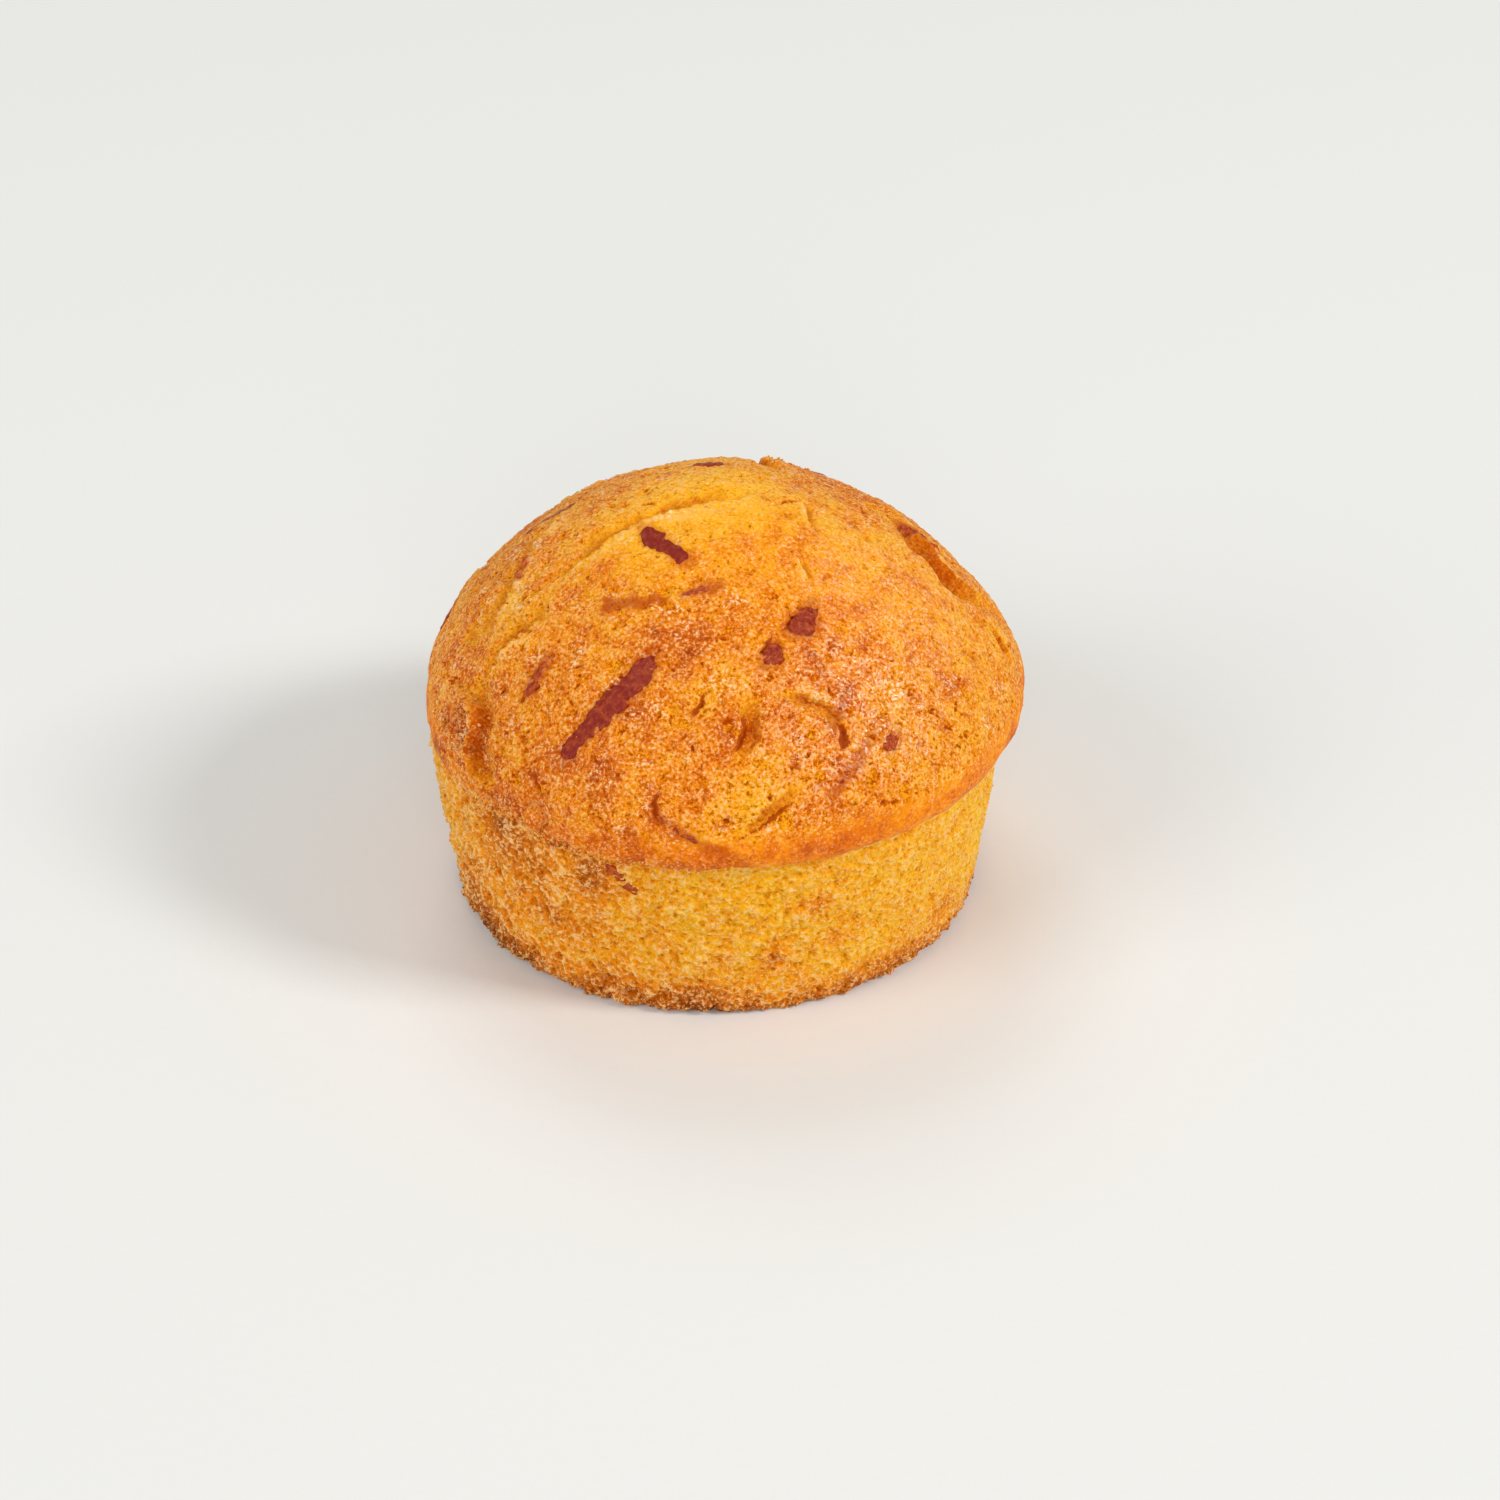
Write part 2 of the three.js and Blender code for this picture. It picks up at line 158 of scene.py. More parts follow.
# name: (path of (azimuth, arc), width, depth and rise in mm, slope in widths, the side that is raised)
# RIGHT and LEFT are as seen by someone who looks at the path running downwards.
FOLDS = {
    "left gully": ([(-114, 23.4), (-101, 24.9), (-89, 27.8), (-80, 30), (-75, 32.6), (-74, 34.8),
                    (-70.6, 36.3)], 5.0, 1.8, 0.9, 0.1, RIGHT),
    "left step": ([(-61.2, 28.2), (-59.4, 31.4), (-61, 34.4), (-62.4, 37.2), (-60.8, 41)],
                  2.8, 1.2, 0.7, 0.1, RIGHT),
    "left lobe": ([(-76.6, 42.6), (-73.8, 45.7), (-72, 48.2), (-71, 51)], 2.8, 1.2, 0.8, 0.1, RIGHT),
    "left crag": ([(-66, 43.8), (-59.6, 43.4), (-55.6, 44.8), (-55, 48.6), (-50.6, 50.8), (-50.2, 53)],
                  2.8, 1.1, 1.7, 0.35, LEFT),
    "valley": ([(40, 2.7), (-26, 2.9), (-46, 4.7), (-60, 8.2), (-64.5, 12), (-67, 16.6), (-65.5, 20.6),
                (-67, 24.4)], 4.4, 1.5, 0.7, 0.1, RIGHT),
    "left crease": ([(-66.8, 23.6), (-68.3, 26), (-67.6, 28)], 1.0, 0.6, 0.2, 0.1, RIGHT),
    "far crease": ([(-85, 35.2), (-82, 37.2), (-78.3, 38.6), (-73, 38.8)], 2.4, 0.7, 0.3, 0.1, RIGHT),
    "right crack": ([(92, 10.0), (77, 11.3), (64, 12.9)], 1.3, 0.8, 0.25, 0.2, LEFT),
    "right low crack": ([(41, 15.3), (38, 17.3), (36, 19.4)], 1.1, 0.8, 0.2, 0.2, LEFT),
    "right ledge": ([(109, 25.8), (102, 27.2), (97, 28.3), (91, 31.2), (88.3, 34), (91, 38), (96, 42)],
                    3.2, 1.8, 0.9, 0.6, RIGHT),
    "right crease": ([(85.2, 41.6), (83.5, 43.4), (82, 46.2)], 1.4, 1.0, 0.25, 0.2, RIGHT),
    "front gully": ([(5.5, 33.4), (6.3, 36.6), (4.9, 38.6), (2.6, 41.2)], 2.6, 1.0, 0.0, 0.1, NEITHER),
    "right gully": ([(13.6, 33.4), (19.1, 33.7), (23.3, 35.3), (29, 38.6)], 2.2, 1.1, 0.2, 0.1, RIGHT),
    "front split": ([(2.6, 50.4), (5.3, 49.4), (10.0, 47.2), (14.5, 45.0)], 2.3, 0.75, 0.0, 0.1, NEITHER),
    "lip groove": ([(-53.4, 53.0), (-50.6, 54.8), (-46.6, 55.7), (-42.9, 55.4), (-39.6, 54.6)],
                   2.0, 1.4, 0.5, 0.15, RIGHT),
    "back valley": ([(150, 16), (166, 21), (160, 31), (170, 40)], 3.4, 1.3, 0.5, 0.15, LEFT),
    "back crease": ([(-150, 22), (-134, 30), (-128, 41)], 2.4, 1.0, 0.8, 0.15, RIGHT),
    "back split": ([(-112, 41), (-122, 47), (-137, 49)], 2.2, 0.9, 0.0, 0.1, NEITHER),
    "back right split": ([(129, 46), (143, 43)], 2.0, 0.9, 0.4, 0.4, LEFT),
}
print(len(FOLDS), "folds:", ", ".join(FOLDS))

# %% The cracks, in the same terms
CRACKS = {
    "gully edge": ([(3.6, 35.0), (4.4, 36.8), (3.2, 38.8), (1.4, 40.8)], 0.8, 0.5, 0.0, 0.1, NEITHER),
    "split edge": ([(1.8, 51.6), (5.6, 50.4), (9.9, 48.4), (13.6, 46.6)], 0.8, 0.5, 0.0, 0.1, NEITHER),
    "lip crack": ([(-12.3, 45.6), (-13.4, 47.2), (-12.4, 49.1)], 1.1, 0.8, 0.0, 0.1, NEITHER),
    "middle crack": ([(-5, 32.2), (-5.6, 34), (-7.6, 35.9)], 0.9, 0.5, 0.0, 0.1, NEITHER),
    "shred crack": ([(9.6, 27.6), (12.4, 26.6), (14.6, 25.2)], 0.9, 0.6, 0.2, 0.1, RIGHT),
    "triangle crack": ([(16.5, 25), (22, 24.0), (21.5, 22.2)], 0.9, 0.5, 0.1, 0.1, RIGHT),
    "right drop": ([(26.2, 38), (25.6, 40.0), (25.0, 42.2)], 1.1, 0.8, 0.0, 0.1, NEITHER),
    "crown crack": ([(60, 6), (84, 9), (90, 11)], 1.0, 0.5, 0.2, 0.1, LEFT),
    "low left crack": ([(-39, 47), (-36, 49.5)], 0.9, 0.45, 0.1, 0.1, RIGHT),
    "back crack": ([(-170, 26), (-176, 30), (-172, 34)], 1.0, 0.6, 0.2, 0.1, LEFT),
    "back right crack": ([(120, 34), (127, 37), (126, 41)], 1.0, 0.6, 0.2, 0.1, RIGHT),
}
print(len(CRACKS), "cracks:", ", ".join(CRACKS))

# %% The dents
DENTS = {
    # name: (azimuth, arc, radius, depth)
    "left dent": (-59.0, 30.0, 1.3, 0.4),
    "crown dent": (-72, 12.2, 1.6, 0.4),
    "right top dent": (112, 22.8, 1.8, 0.7),
    "right dent": (80.5, 20, 1.2, 0.5),
    "strip dent": (-12, 35.2, 1.1, 0.35),
    "ledge dent": (100, 33, 1.6, 0.5),
    "back dent": (145, 33, 1.7, 0.6),
    "back left dent": (-142, 36, 1.8, 0.6),
}
DENT_REACH = 1.6
DENT_TEAR = 0.5
DENT_TEAR_SIZE = 1.3
dents = [(surface(azimuth, arc)[0], radius, depth) for azimuth, arc, radius, depth in DENTS.values()]


def dent_relief(place):
    """Height in mm and bareness of the smooth bowls where bubbles burst."""
    for spot, radius, depth in dents:
        if (place - spot).length < DENT_REACH * radius:
            torn = place + DENT_TEAR * noise.noise_vector(place / DENT_TEAR_SIZE)
            away = (torn - spot).length / radius
            return -depth * (1 - smooth(0.2, 1.05, away)), 0.6 * (1 - smooth(0.5, 1.05, away))
    return 0.0, 0.0


print(len(dents), "dents, the deepest %.1f mm" % max(depth for _spot, _radius, depth in dents))

# %% What a fold does to the crust around it
PATH_PARTS = 40
FOLD_STEP = 0.25
FOLD_ENDS = 0.03
WIDE_TEAR = 0.6
WIDE_TEAR_SIZE = 2.0
FINE_TEAR = 0.35
FINE_TEAR_SIZE = 0.8
FULLY_TORN_WIDTH = 1.5
# From here on, in widths of the fold from its path
FOLD_REACH = 2.8
GAP_SIDE = (0.28, 0.48)
GAP_BARE_TO = (0.4, 0.55)
STEP_FROM = -0.1
PLATE_END = 1.8
DIP_SIDE = (0.1, 1.3)
DIP_BARE_TO = (0.7, 1.15)
SLOPE_EDGE = 0.06
RIM_START = 0.12
RIM_WIDTH = 0.5


class Fold:
    """A fold or a crack, measured on the smooth form."""

    def __init__(self, path, width, depth, rise, slope, side):
        rough = [surface(*along(path, index / PATH_PARTS))[0] for index in range(PATH_PARTS + 1)]
        length = sum((b - a).length for a, b in zip(rough, rough[1:]))
        self.count = max(int(length / FOLD_STEP), 8)
        self.spots = [surface(*along(path, index / self.count))[0] for index in range(self.count + 1)]
        self.widths = [width * (0.85 + 0.7 * noise.noise(spot / 3.3)) for spot in self.spots]
        self.tree = KDTree(self.count + 1)
        for index, spot in enumerate(self.spots):
            self.tree.insert(spot, index)
        self.tree.balance()
        self.width = width
        self.depth = depth
        self.rise = rise
        self.slope = slope
        self.side = side
        self.bareness = min(0.3 + 0.7 * depth, 1)
        self.centre = sum(self.spots, Vector()) / len(self.spots)
        self.radius = max((spot - self.centre).length for spot in self.spots) + FOLD_REACH * width

    def relief(self, place, normal):
        """Height in mm, how bare the crumb lies, and whether this is the torn rim, both from 0 to 1."""
        if (place - self.centre).length > self.radius:
            return 0.0, 0.0, 0.0
        tear = min(self.width / FULLY_TORN_WIDTH, 1)
        torn = place + tear * WIDE_TEAR * noise.noise_vector(place / WIDE_TEAR_SIZE)
        torn += tear * FINE_TEAR * noise.noise_vector(place / FINE_TEAR_SIZE)
        spot, index, away = self.tree.find(torn)
        across = away / self.widths[index]
        if across > FOLD_REACH:
            return 0.0, 0.0, 0.0
        taper = math.sin(math.pi * min(max(index / self.count, FOLD_ENDS), 1 - FOLD_ENDS)) ** 0.5
        if self.side == NEITHER:
            return self.gap(across, taper)
        ahead = self.spots[min(index + 1, self.count)] - self.spots[max(index - 1, 0)]
        hand = 1 if (torn - spot).dot(normal.cross(ahead)) > 0 else -1
        return self.step(hand * self.side * across, taper)

    def gap(self, across, taper):
        """An open split: a bare floor between two steep sides."""
        floor = 1 - smooth(*GAP_SIDE, across)
        bare = 1 - smooth(*GAP_BARE_TO, across)
        return -self.depth * floor * taper, self.bareness * bare * taper, 0.0

    def step(self, signed, taper):
        """A torn plate over a bare slope over a dip. The dip lies where signed is negative."""
        across = abs(signed)
        cliff = smooth(STEP_FROM, self.slope, signed)
        plate = self.rise * math.exp(-0.9 * across) * (1 - smooth(PLATE_END, FOLD_REACH, across))
        dip = 1 - smooth(*DIP_SIDE, across) if signed < 0 else 1.0
        height = plate * cliff - self.depth * dip * (1 - cliff)
        # bare amber reaches up the far slope of the dip: the crumb that shows there, and partly painted shade
        bare = (0.35 + 0.65 * dip) * (1 - smooth(*DIP_BARE_TO, across)) if signed < 0 else 1.0
        bare *= 1 - smooth(self.slope - SLOPE_EDGE, self.slope + SLOPE_EDGE, signed)
        rim = smooth(self.slope, self.slope + RIM_START, signed)
        rim *= math.exp(-(((signed - self.slope) / RIM_WIDTH) ** 2))
        return height * taper, self.bareness * bare * taper, rim * taper


folds = [Fold(*facts) for facts in FOLDS.values()]
cracks = [Fold(*facts) for facts in CRACKS.values()]
print("the longest fold is %.0f mm long" % (max(fold.count for fold in folds) * FOLD_STEP))

# %% [markdown]
# ## What the oven did
#
# A crust browns unevenly: it darkens where it stands out and stays yellow where it tore late. Its torn rims
# are paler still, partly painted light, and three pale patches on the right, towards the strongest lamp, are
# painted light. Its skin also differs from place to place: calm on the crown, glazed at the right, where the
# thickest glaze also carries a painted sheen, and crumbly on the crags. Named patches say where, each with a
# place, a radius and a strength, and so do the small beads of batter that boiled out beside the lip. All this
# could be painted on by hand, but a list is quicker to read and to change.

# %% Patches of skin that add up


def on_surface(patches):
    """The same patches, each with its place in millimetres."""
    return [(surface(azimuth, arc)[0], radius, strength)
            for azimuth, arc, radius, strength in patches.values()]


def strength_at(spots, place):
    """The patches' strengths added up. Each fades out round its spot."""
    total = 0.0
    for spot, radius, strength in spots:
        away = (place - spot).length_squared / (radius * radius)
        if away < 5:
            total += strength * math.exp(-away)
    return total


# %% Browned and pale patches, three of them painted light
TOAST_AND_LIGHT = {
    # name: (azimuth, arc, radius in mm, strength)
    "left flank": (-72, 44, 9, 0.35),
    "left crag": (-60, 47.2, 3.8, 0.8),
    "left lip": (-47, 54.5, 4.5, 0.3),
    "front left": (-30, 45, 8, 0.3),
    "saddle": (-12, 27.2, 3.2, 0.8),
    "saddle left": (-24, 26.4, 2.6, 0.5),
    "right shoulder": (24, 34, 6, 0.25),
    "front right": (38, 36, 7, 0.2),
    # painted light: this patch and the next are paler towards the strongest lamp, on the right
    "right flank": (78, 32, 13, -0.2),
    "lower right": (40, 46, 9, -0.35),
    "centre": (2, 38, 4, 0.35),
    "back right": (150, 30, 12, 0.4),
    "back left": (-140, 42, 11, 0.4),
    "far right": (118, 46, 9, 0.35),
    "crown": (10, 3, 9, -0.75),
    # painted light: paler towards the strongest lamp
    "top right": (66, 20, 9, -0.2),
    "upper left": (-55, 12, 8, -0.35),
    "valley": (-85, 10, 7, -0.5),
    "gully rim": (-68, 31.5, 4.5, -0.6),
    "front split": (6, 46, 4.5, -0.8),
    "below shreds": (-2, 33, 4, -0.4),
    "middle left": (-30, 22, 5, -0.35),
    "back crown": (-165, 14, 9, -0.4),
    "back low": (172, 47, 8, -0.3),
}
toast_and_light_spots = on_surface(TOAST_AND_LIGHT)


def toast_and_light(place):
    """How brown the crust is: 0 is golden, 1 brown, -1 still yellow, with painted light on the right."""
    total = 0.28 * noise.noise(place / 7.5 + Vector((5.0, 2.0, 9.0)))
    total += 0.22 * noise.noise(place / 2.6 + Vector((1.0, 8.0, 2.0)))
    return total + strength_at(toast_and_light_spots, place)


print("browning at the crown %.2f, at the left crag %.2f" % (
    toast_and_light(surface(0, 0)[0]), toast_and_light(surface(*TOAST_AND_LIGHT["left crag"][:2])[0])))

# %% Beads of batter
BEADS = {
    # name: (azimuth, arc, radius, height)
    "bead": (-36.8, 53.0, 1.6, 1.7),
    "front bead": (3.4, 53.3, 1.1, 0.4),
    "crag bead": (-58.5, 47.5, 1.2, 0.6),
    "lip bead": (-31.5, 54.2, 0.8, 0.35),
    "far bead": (132, 52.5, 1.3, 0.6),
}
BEAD_REACH = 1.6
GROOVE_AT = 1.1
GROOVE_WIDTH = 0.17
GROOVE_DEPTH = 0.35
bead_spots = on_surface(BEADS)


def bead_relief(place):
    """Beads of batter, a low dome with a groove round it: height in mm, and 1 in the groove."""
    for spot, radius, height in bead_spots:
        away = (place - spot).length / radius
        if away < BEAD_REACH:
            groove = math.exp(-(((away - GROOVE_AT) / GROOVE_WIDTH) ** 2))
            return height * max(1 - away * away, 0) ** 0.5 - GROOVE_DEPTH * height * groove, groove
    return 0.0, 0.0


print(len(bead_spots), "beads:", ", ".join(BEADS))

# %% Calm, glazed and crumbly skin, where the thickest glaze also carries a painted sheen
CALM = {
    "crown": (0, 5, 13, 0.5),
    "top right": (55, 23, 13, 0.45),
    "right flank": (80, 36, 13, 0.35),
    "upper left": (-60, 18, 9, 0.3),
}
# Where the glaze is thickest, on the right towards the strongest lamp, it also carries a painted sheen.
GLAZE_AND_SHEEN = {
    "front right": (33, 38, 9, 1.0),
    "right flank": (66, 30, 13, 0.55),
    "top right": (50, 20, 8, 0.4),
    "middle": (4, 32, 9, 0.3),
    "below the split": (12, 47, 6, 0.3),
}
GLAZED_ELSEWHERE = 0.12
CRUMBLY = {
    # The last number is the height of the crumbs in mm.
    "left crag": (-60.5, 46.5, 3.2, 1.3),
    "below the crag": (-55, 51.5, 2.8, 0.8),
    "left lip": (-44, 56, 3.5, 0.8),
    "front lip": (-28, 55.5, 3.5, 0.5),
    "back lip": (140, 54, 4, 0.6),
}
CRUMBLY_SIZE = 1.1
CRUMBLY_FROM = 0.02
calm_spots = on_surface(CALM)
glaze_and_sheen_spots = on_surface(GLAZE_AND_SHEEN)
crumbly_spots = on_surface(CRUMBLY)


def crumbs_baked_on(place):
    """The coarse crumbs of the crumbly places: height in mm, up and down."""
    tall = strength_at(crumbly_spots, place)
    if tall <= CRUMBLY_FROM:
        return 0.0
    return tall * noise.noise(place / CRUMBLY_SIZE + Vector((2.0, 5.0, 7.0)))


print(len(CALM), "calm,", len(GLAZE_AND_SHEEN), "glazed and", len(CRUMBLY), "crumbly patches")

# %% [markdown]
# ## The lip
#
# The crust ends in a lip where the dome rose over the rim of the mould. It isn't level: it runs a little
# lower at the front left, where it is also torn. The wall stands in under it by half a millimetre. Crust,
# wall and loose crumbs all ask where the lip lies, so it is one function of the azimuth.

# %% Where the lip lies
LIP_ARC = 55.2
LIP_WANDER = 1.2
LIP_LOW_AZIMUTH = -15
LIP_STEP = 0.55
LIP_STEP_TORN = 0.12
LIP_STEP_FADE = 5.0
LIP_ROLL = 0.3
LIP_ROLL_WIDTH = 1.6
LIP_TORN_AZIMUTH = -40
LIP_TORN_SPREAD = 28
WALL_BEHIND_CRUST = 1.3
SWELLING = 0.5
SWELLING_SIZE = 17


def lip_torn(azimuth):
    """How torn the lip is: 1 at the front left, 0 where it rolls over smoothly."""
    return math.exp(-(((azimuth - LIP_TORN_AZIMUTH) / LIP_TORN_SPREAD) ** 2))


def lip_arc(azimuth):
    """How far down from the crown the crust's lip lies."""
    turn = math.radians(azimuth)
    round_the_lip = Vector((math.sin(turn), math.cos(turn), 0.3))
    ragged = 0.4 * noise.noise(round_the_lip * 5)
    ragged += (0.15 + 1.1 * lip_torn(azimuth)) * noise.noise(round_the_lip * 22)
    ragged += 0.5 * lip_torn(azimuth) * noise.noise(round_the_lip * 60)
    return LIP_ARC + LIP_WANDER * math.cos(math.radians(azimuth - LIP_LOW_AZIMUTH)) + ragged


def lip_step(azimuth, below_lip):
    """How far the wall stands in under the lip, in mm."""
    step = LIP_STEP + (LIP_STEP_TORN - LIP_STEP) * lip_torn(azimuth)
    step *= math.exp(-max(below_lip, 0) / LIP_STEP_FADE)
    return step + WALL_BEHIND_CRUST * smooth(0.0, -2.0, below_lip)


def swelling(place):
    """The broad unevenness of the whole muffin, in mm. It fades out towards the flat underside."""
    broad = noise.noise(place / SWELLING_SIZE + Vector((3.1, 1.7, 5.2)))
    return SWELLING * broad * min(place.z / LIP_HEIGHT, 1)


print("lip at", [round(lip_arc(azimuth), 1) for azimuth in range(-180, 180, 45)], "mm from the crown")

# %% [markdown]
# ## The red shreds' routes
#
# The shreds were stirred into the batter. Some lie bare and glossy, most lie just under the skin and only
# stain it. So each is both a strip of its own and a stain in the crust around it, and the route comes first.

# %% The shreds' routes
SHREDS = {
    # name: (path of (azimuth, arc, width), rise over the crust in mm, how far baked over, from 0 to 1)
    "crown chunk": ([(-59, 12.2, 1.8), (-46, 12.7, 3.4), (-33, 13.2, 2.4), (-20, 14.4, 2.9)], 0.2, 0.05),
    "long strip": ([(-19.9, 28.8, 3.0), (-22.5, 32.4, 3.9), (-26.4, 35.6, 3.8), (-29.4, 38.9, 3.1),
                    (-32, 42, 2.6), (-33.6, 44.6, 2.1)], 0.2, 0.15),
    "faint strip": ([(-40.6, 24, 2.0), (-33, 22.4, 1.6), (-22.5, 20.6, 0.8)], -0.1, 0.9),
    "faint tip": ([(-16.2, 19.5, 0.8), (-8, 18.4, 1.3), (-3, 17.9, 1.5)], 0.05, 0.6),
    "right triangle": ([(21.0, 25.3, 2.4), (25, 24.9, 4.0), (28.6, 23.7, 2.7), (32.4, 22.3, 1.4)], 0.2, 0.35),
    "small right": ([(11.0, 29.2, 1.8), (13.2, 28.4, 3.0), (15.4, 26.9, 1.6)], 0.15, 0.35),
    "small left": ([(-48.2, 39.2, 1.3), (-48.4, 37, 2.0), (-48.2, 34.8, 1.9), (-48.6, 33.2, 1.2)], 0.05, 0.5),
    "right strip": ([(20.8, 46.6, 1.2), (24.4, 45, 1.5), (27.4, 43.3, 1.6), (31.5, 41.3, 1.0)], -0.05, 0.5),
    "right blob": ([(33.8, 43, 1.2), (35.4, 42.8, 2.1), (37.2, 42.4, 1.2)], 0.25, 0.45),
    "right dab": ([(24.3, 38.4, 1.1), (26.0, 37.2, 1.5), (27.2, 36.2, 1.0)], -0.1, 0.6),
    "lip strip": ([(-13.0, 48.5, 1.3), (-8, 50.4, 1.0), (-3.6, 52.2, 1.1), (-0.4, 53.1, 1.8)], -0.02, 0.5),
    "wall shred": ([(-22, 57.8, 1.2), (-18.5, 60, 1.9), (-15.6, 61.8, 1.0)], 0.05, 0.55),
    "far left strip": ([(-87, 27.8, 1.2), (-80, 29.6, 1.5)], 0.05, 0.7),
    "left edge shred": ([(-104, 44, 1.8), (-100, 48.4, 1.4)], 0.2, 0.5),
    "far right strip": ([(106.2, 26.3, 1.4), (102, 29.5, 1.8), (98.5, 32.6, 1.2)], 0.1, 0.65),
    "crown back": ([(-157.6, 11.1, 1.4), (-180.8, 10.4, 1.8)], 0.3, 0.3),
    "back strip": ([(148, 27, 2.0), (152, 31, 2.7), (156, 36, 1.6)], 0.2, 0.3),
    "back chunk": ([(-168, 33, 2.2), (-161, 36, 3.0), (-155, 38, 2.2)], 0.45, 0.1),
    "back left strip": ([(-122, 24, 1.5), (-116, 28, 2.2), (-110, 31, 1.3)], 0.1, 0.5),
    "back wall shred": ([(160, 63, 1.6), (167, 67, 1.9)], 0.1, 0.5),
}
ROUTE_STEPS = 24
STAIN_FROM = 0.7
STAIN_FULL = -0.5
STAIN_FRAY = 0.6
STAIN_FRAY_SIZE = 0.9
WIDEST_STAIN = 3


class Shred:
    """A shred's route, and the stain that it leaves in the crust."""

    def __init__(self, path, rise, faded):
        self.path = path
        self.rise = rise
        self.faded = faded
        stops = [along(path, index / ROUTE_STEPS) for index in range(ROUTE_STEPS + 1)]
        self.spots = [(surface(azimuth, arc)[0], width) for azimuth, arc, width in stops]
        self.length = sum((b[0] - a[0]).length for a, b in zip(self.spots, self.spots[1:]))
        self.centre = self.spots[ROUTE_STEPS // 2][0]

    def stain(self, place):
        """0 to 1: how red the crust is here."""
        if (place - self.centre).length > self.length / 2 + WIDEST_STAIN:
            return 0.0
        edge = min((place - spot).length - width / 2 for spot, width in self.spots)
        frayed = edge + STAIN_FRAY * noise.noise(place / STAIN_FRAY_SIZE)
        return smooth(STAIN_FROM, STAIN_FULL, frayed) * (0.4 + 0.45 * self.faded)


shreds = {name: Shred(*facts) for name, facts in SHREDS.items()}
print(len(shreds), "shreds, from %.0f to %.0f mm long" % (
    min(s.length for s in shreds.values()), max(s.length for s in shreds.values())))

# %% [markdown]
# ## The crust
#
# The crust is a thin skin, blistered and finely grained, and smoother towards its lip. A turned mesh would
# crowd its vertices at the crown. An icosphere crowds none, so half of one is laid over the dome, each ring
# of it at the arc that holds its share of the area. The grain is moved into the vertices, because the outline
# and the low light show it. What the material needs to know goes along as vertex attributes.

# %% Share out the dome's area
CRUST_SUBDIVISIONS = 8
CRUST_TUCK = 1.0
CRUST_THICKNESS = 3.0
DOME_ARC = LIP_ARC + LIP_WANDER
area_sums = np.cumsum([radius * ARC_STEP for radius, _height in SECTION[: int(DOME_ARC / ARC_STEP) + 1]])


def arc_for_share(share):
    """The arc inside which this share of the dome's area lies."""
    return float(np.interp(share * area_sums[-1], area_sums, np.arange(len(area_sums)) * ARC_STEP))


print("half of the dome's area lies within %.1f mm of the crown" % arc_for_share(0.5))

# %% The skin: grain, broken bubbles and hair cracks
RIDGE_HEIGHT = 0.26
RIDGE_SPACING = 1.2
GRAIN_HEIGHT = 0.2
GRAIN_SIZE = 0.62


def grain(place):
    """The grain of baked batter in mm of height: a net of sharp ridges, and finer grit."""
    ridged = 0.3 - abs(noise.noise(place / RIDGE_SPACING + Vector((9.0, 2.0, 4.0))))
    return RIDGE_HEIGHT * ridged + GRAIN_HEIGHT * noise.noise(place / GRAIN_SIZE)


def bubbles(place):
    """Where the skin broke over a bubble: wide shallow hollows and small deep pits, both from 0 to 1."""
    wander = place + 0.35 * noise.noise_vector(place / 0.8)
    crowd = 0.15 * noise.noise(place / 7 + Vector((6.0, 6.0, 0.5)))
    wide = smooth(0.44 - crowd, 0.56 - crowd, noise.noise(wander / 2.0 + Vector((1.5, 7.0, 3.0))))
    pit = smooth(0.5 - crowd, 0.6 - crowd, noise.noise(wander / 1.05 + Vector((5.0, 3.0, 8.0))))
    return wide, pit


def hair_cracks(place):
    """Hair cracks between blisters, 0 to 1. They come and go."""
    wander = place + 0.9 * noise.noise_vector(place / 1.9)
    line = abs(noise.noise(wander / 4.5 + Vector((4.0, 4.0, 8.0))))
    here = smooth(0.1, 0.3, noise.noise(place / 7 + Vector((2.0, 6.0, 1.0))))
    return (1 - smooth(0.0, 0.045, line)) * here


# %% The coarse form of the crust
RIM_ROUGHNESS = 0.7
RIM_ROUGHNESS_SIZE = 0.95


def crust_form(place, normal):
    """The coarse relief in mm, how bare the crumb lies, and how much this is a torn rim."""
    height, bare = dent_relief(place)
    bead, _groove = bead_relief(place)
    height = height + bead + crumbs_baked_on(place)
    rim = 0.0
    for fold in folds:
        rise, gape, edge = fold.relief(place, normal)
        height += rise
        bare = max(bare, gape)
        rim = max(rim, edge)
    blisters = 0.26 * noise.noise(place / 4.4) + 0.25 * noise.noise(place / 8.5 + Vector((7.0, 3.0, 1.0)))
    torn = RIM_ROUGHNESS * rim * noise.noise(place / RIM_ROUGHNESS_SIZE + Vector((2.0, 9.0, 4.0)))
    return height + blisters * (1 - bare) + torn, bare, rim


# %% The fine relief on it
BUBBLE_DEPTH = 0.4
HAIR_DEPTH = 0.35
# The groove round a bead takes the dark crack colour: painted shade in the groove.
GROOVE_SHADE = 0.3


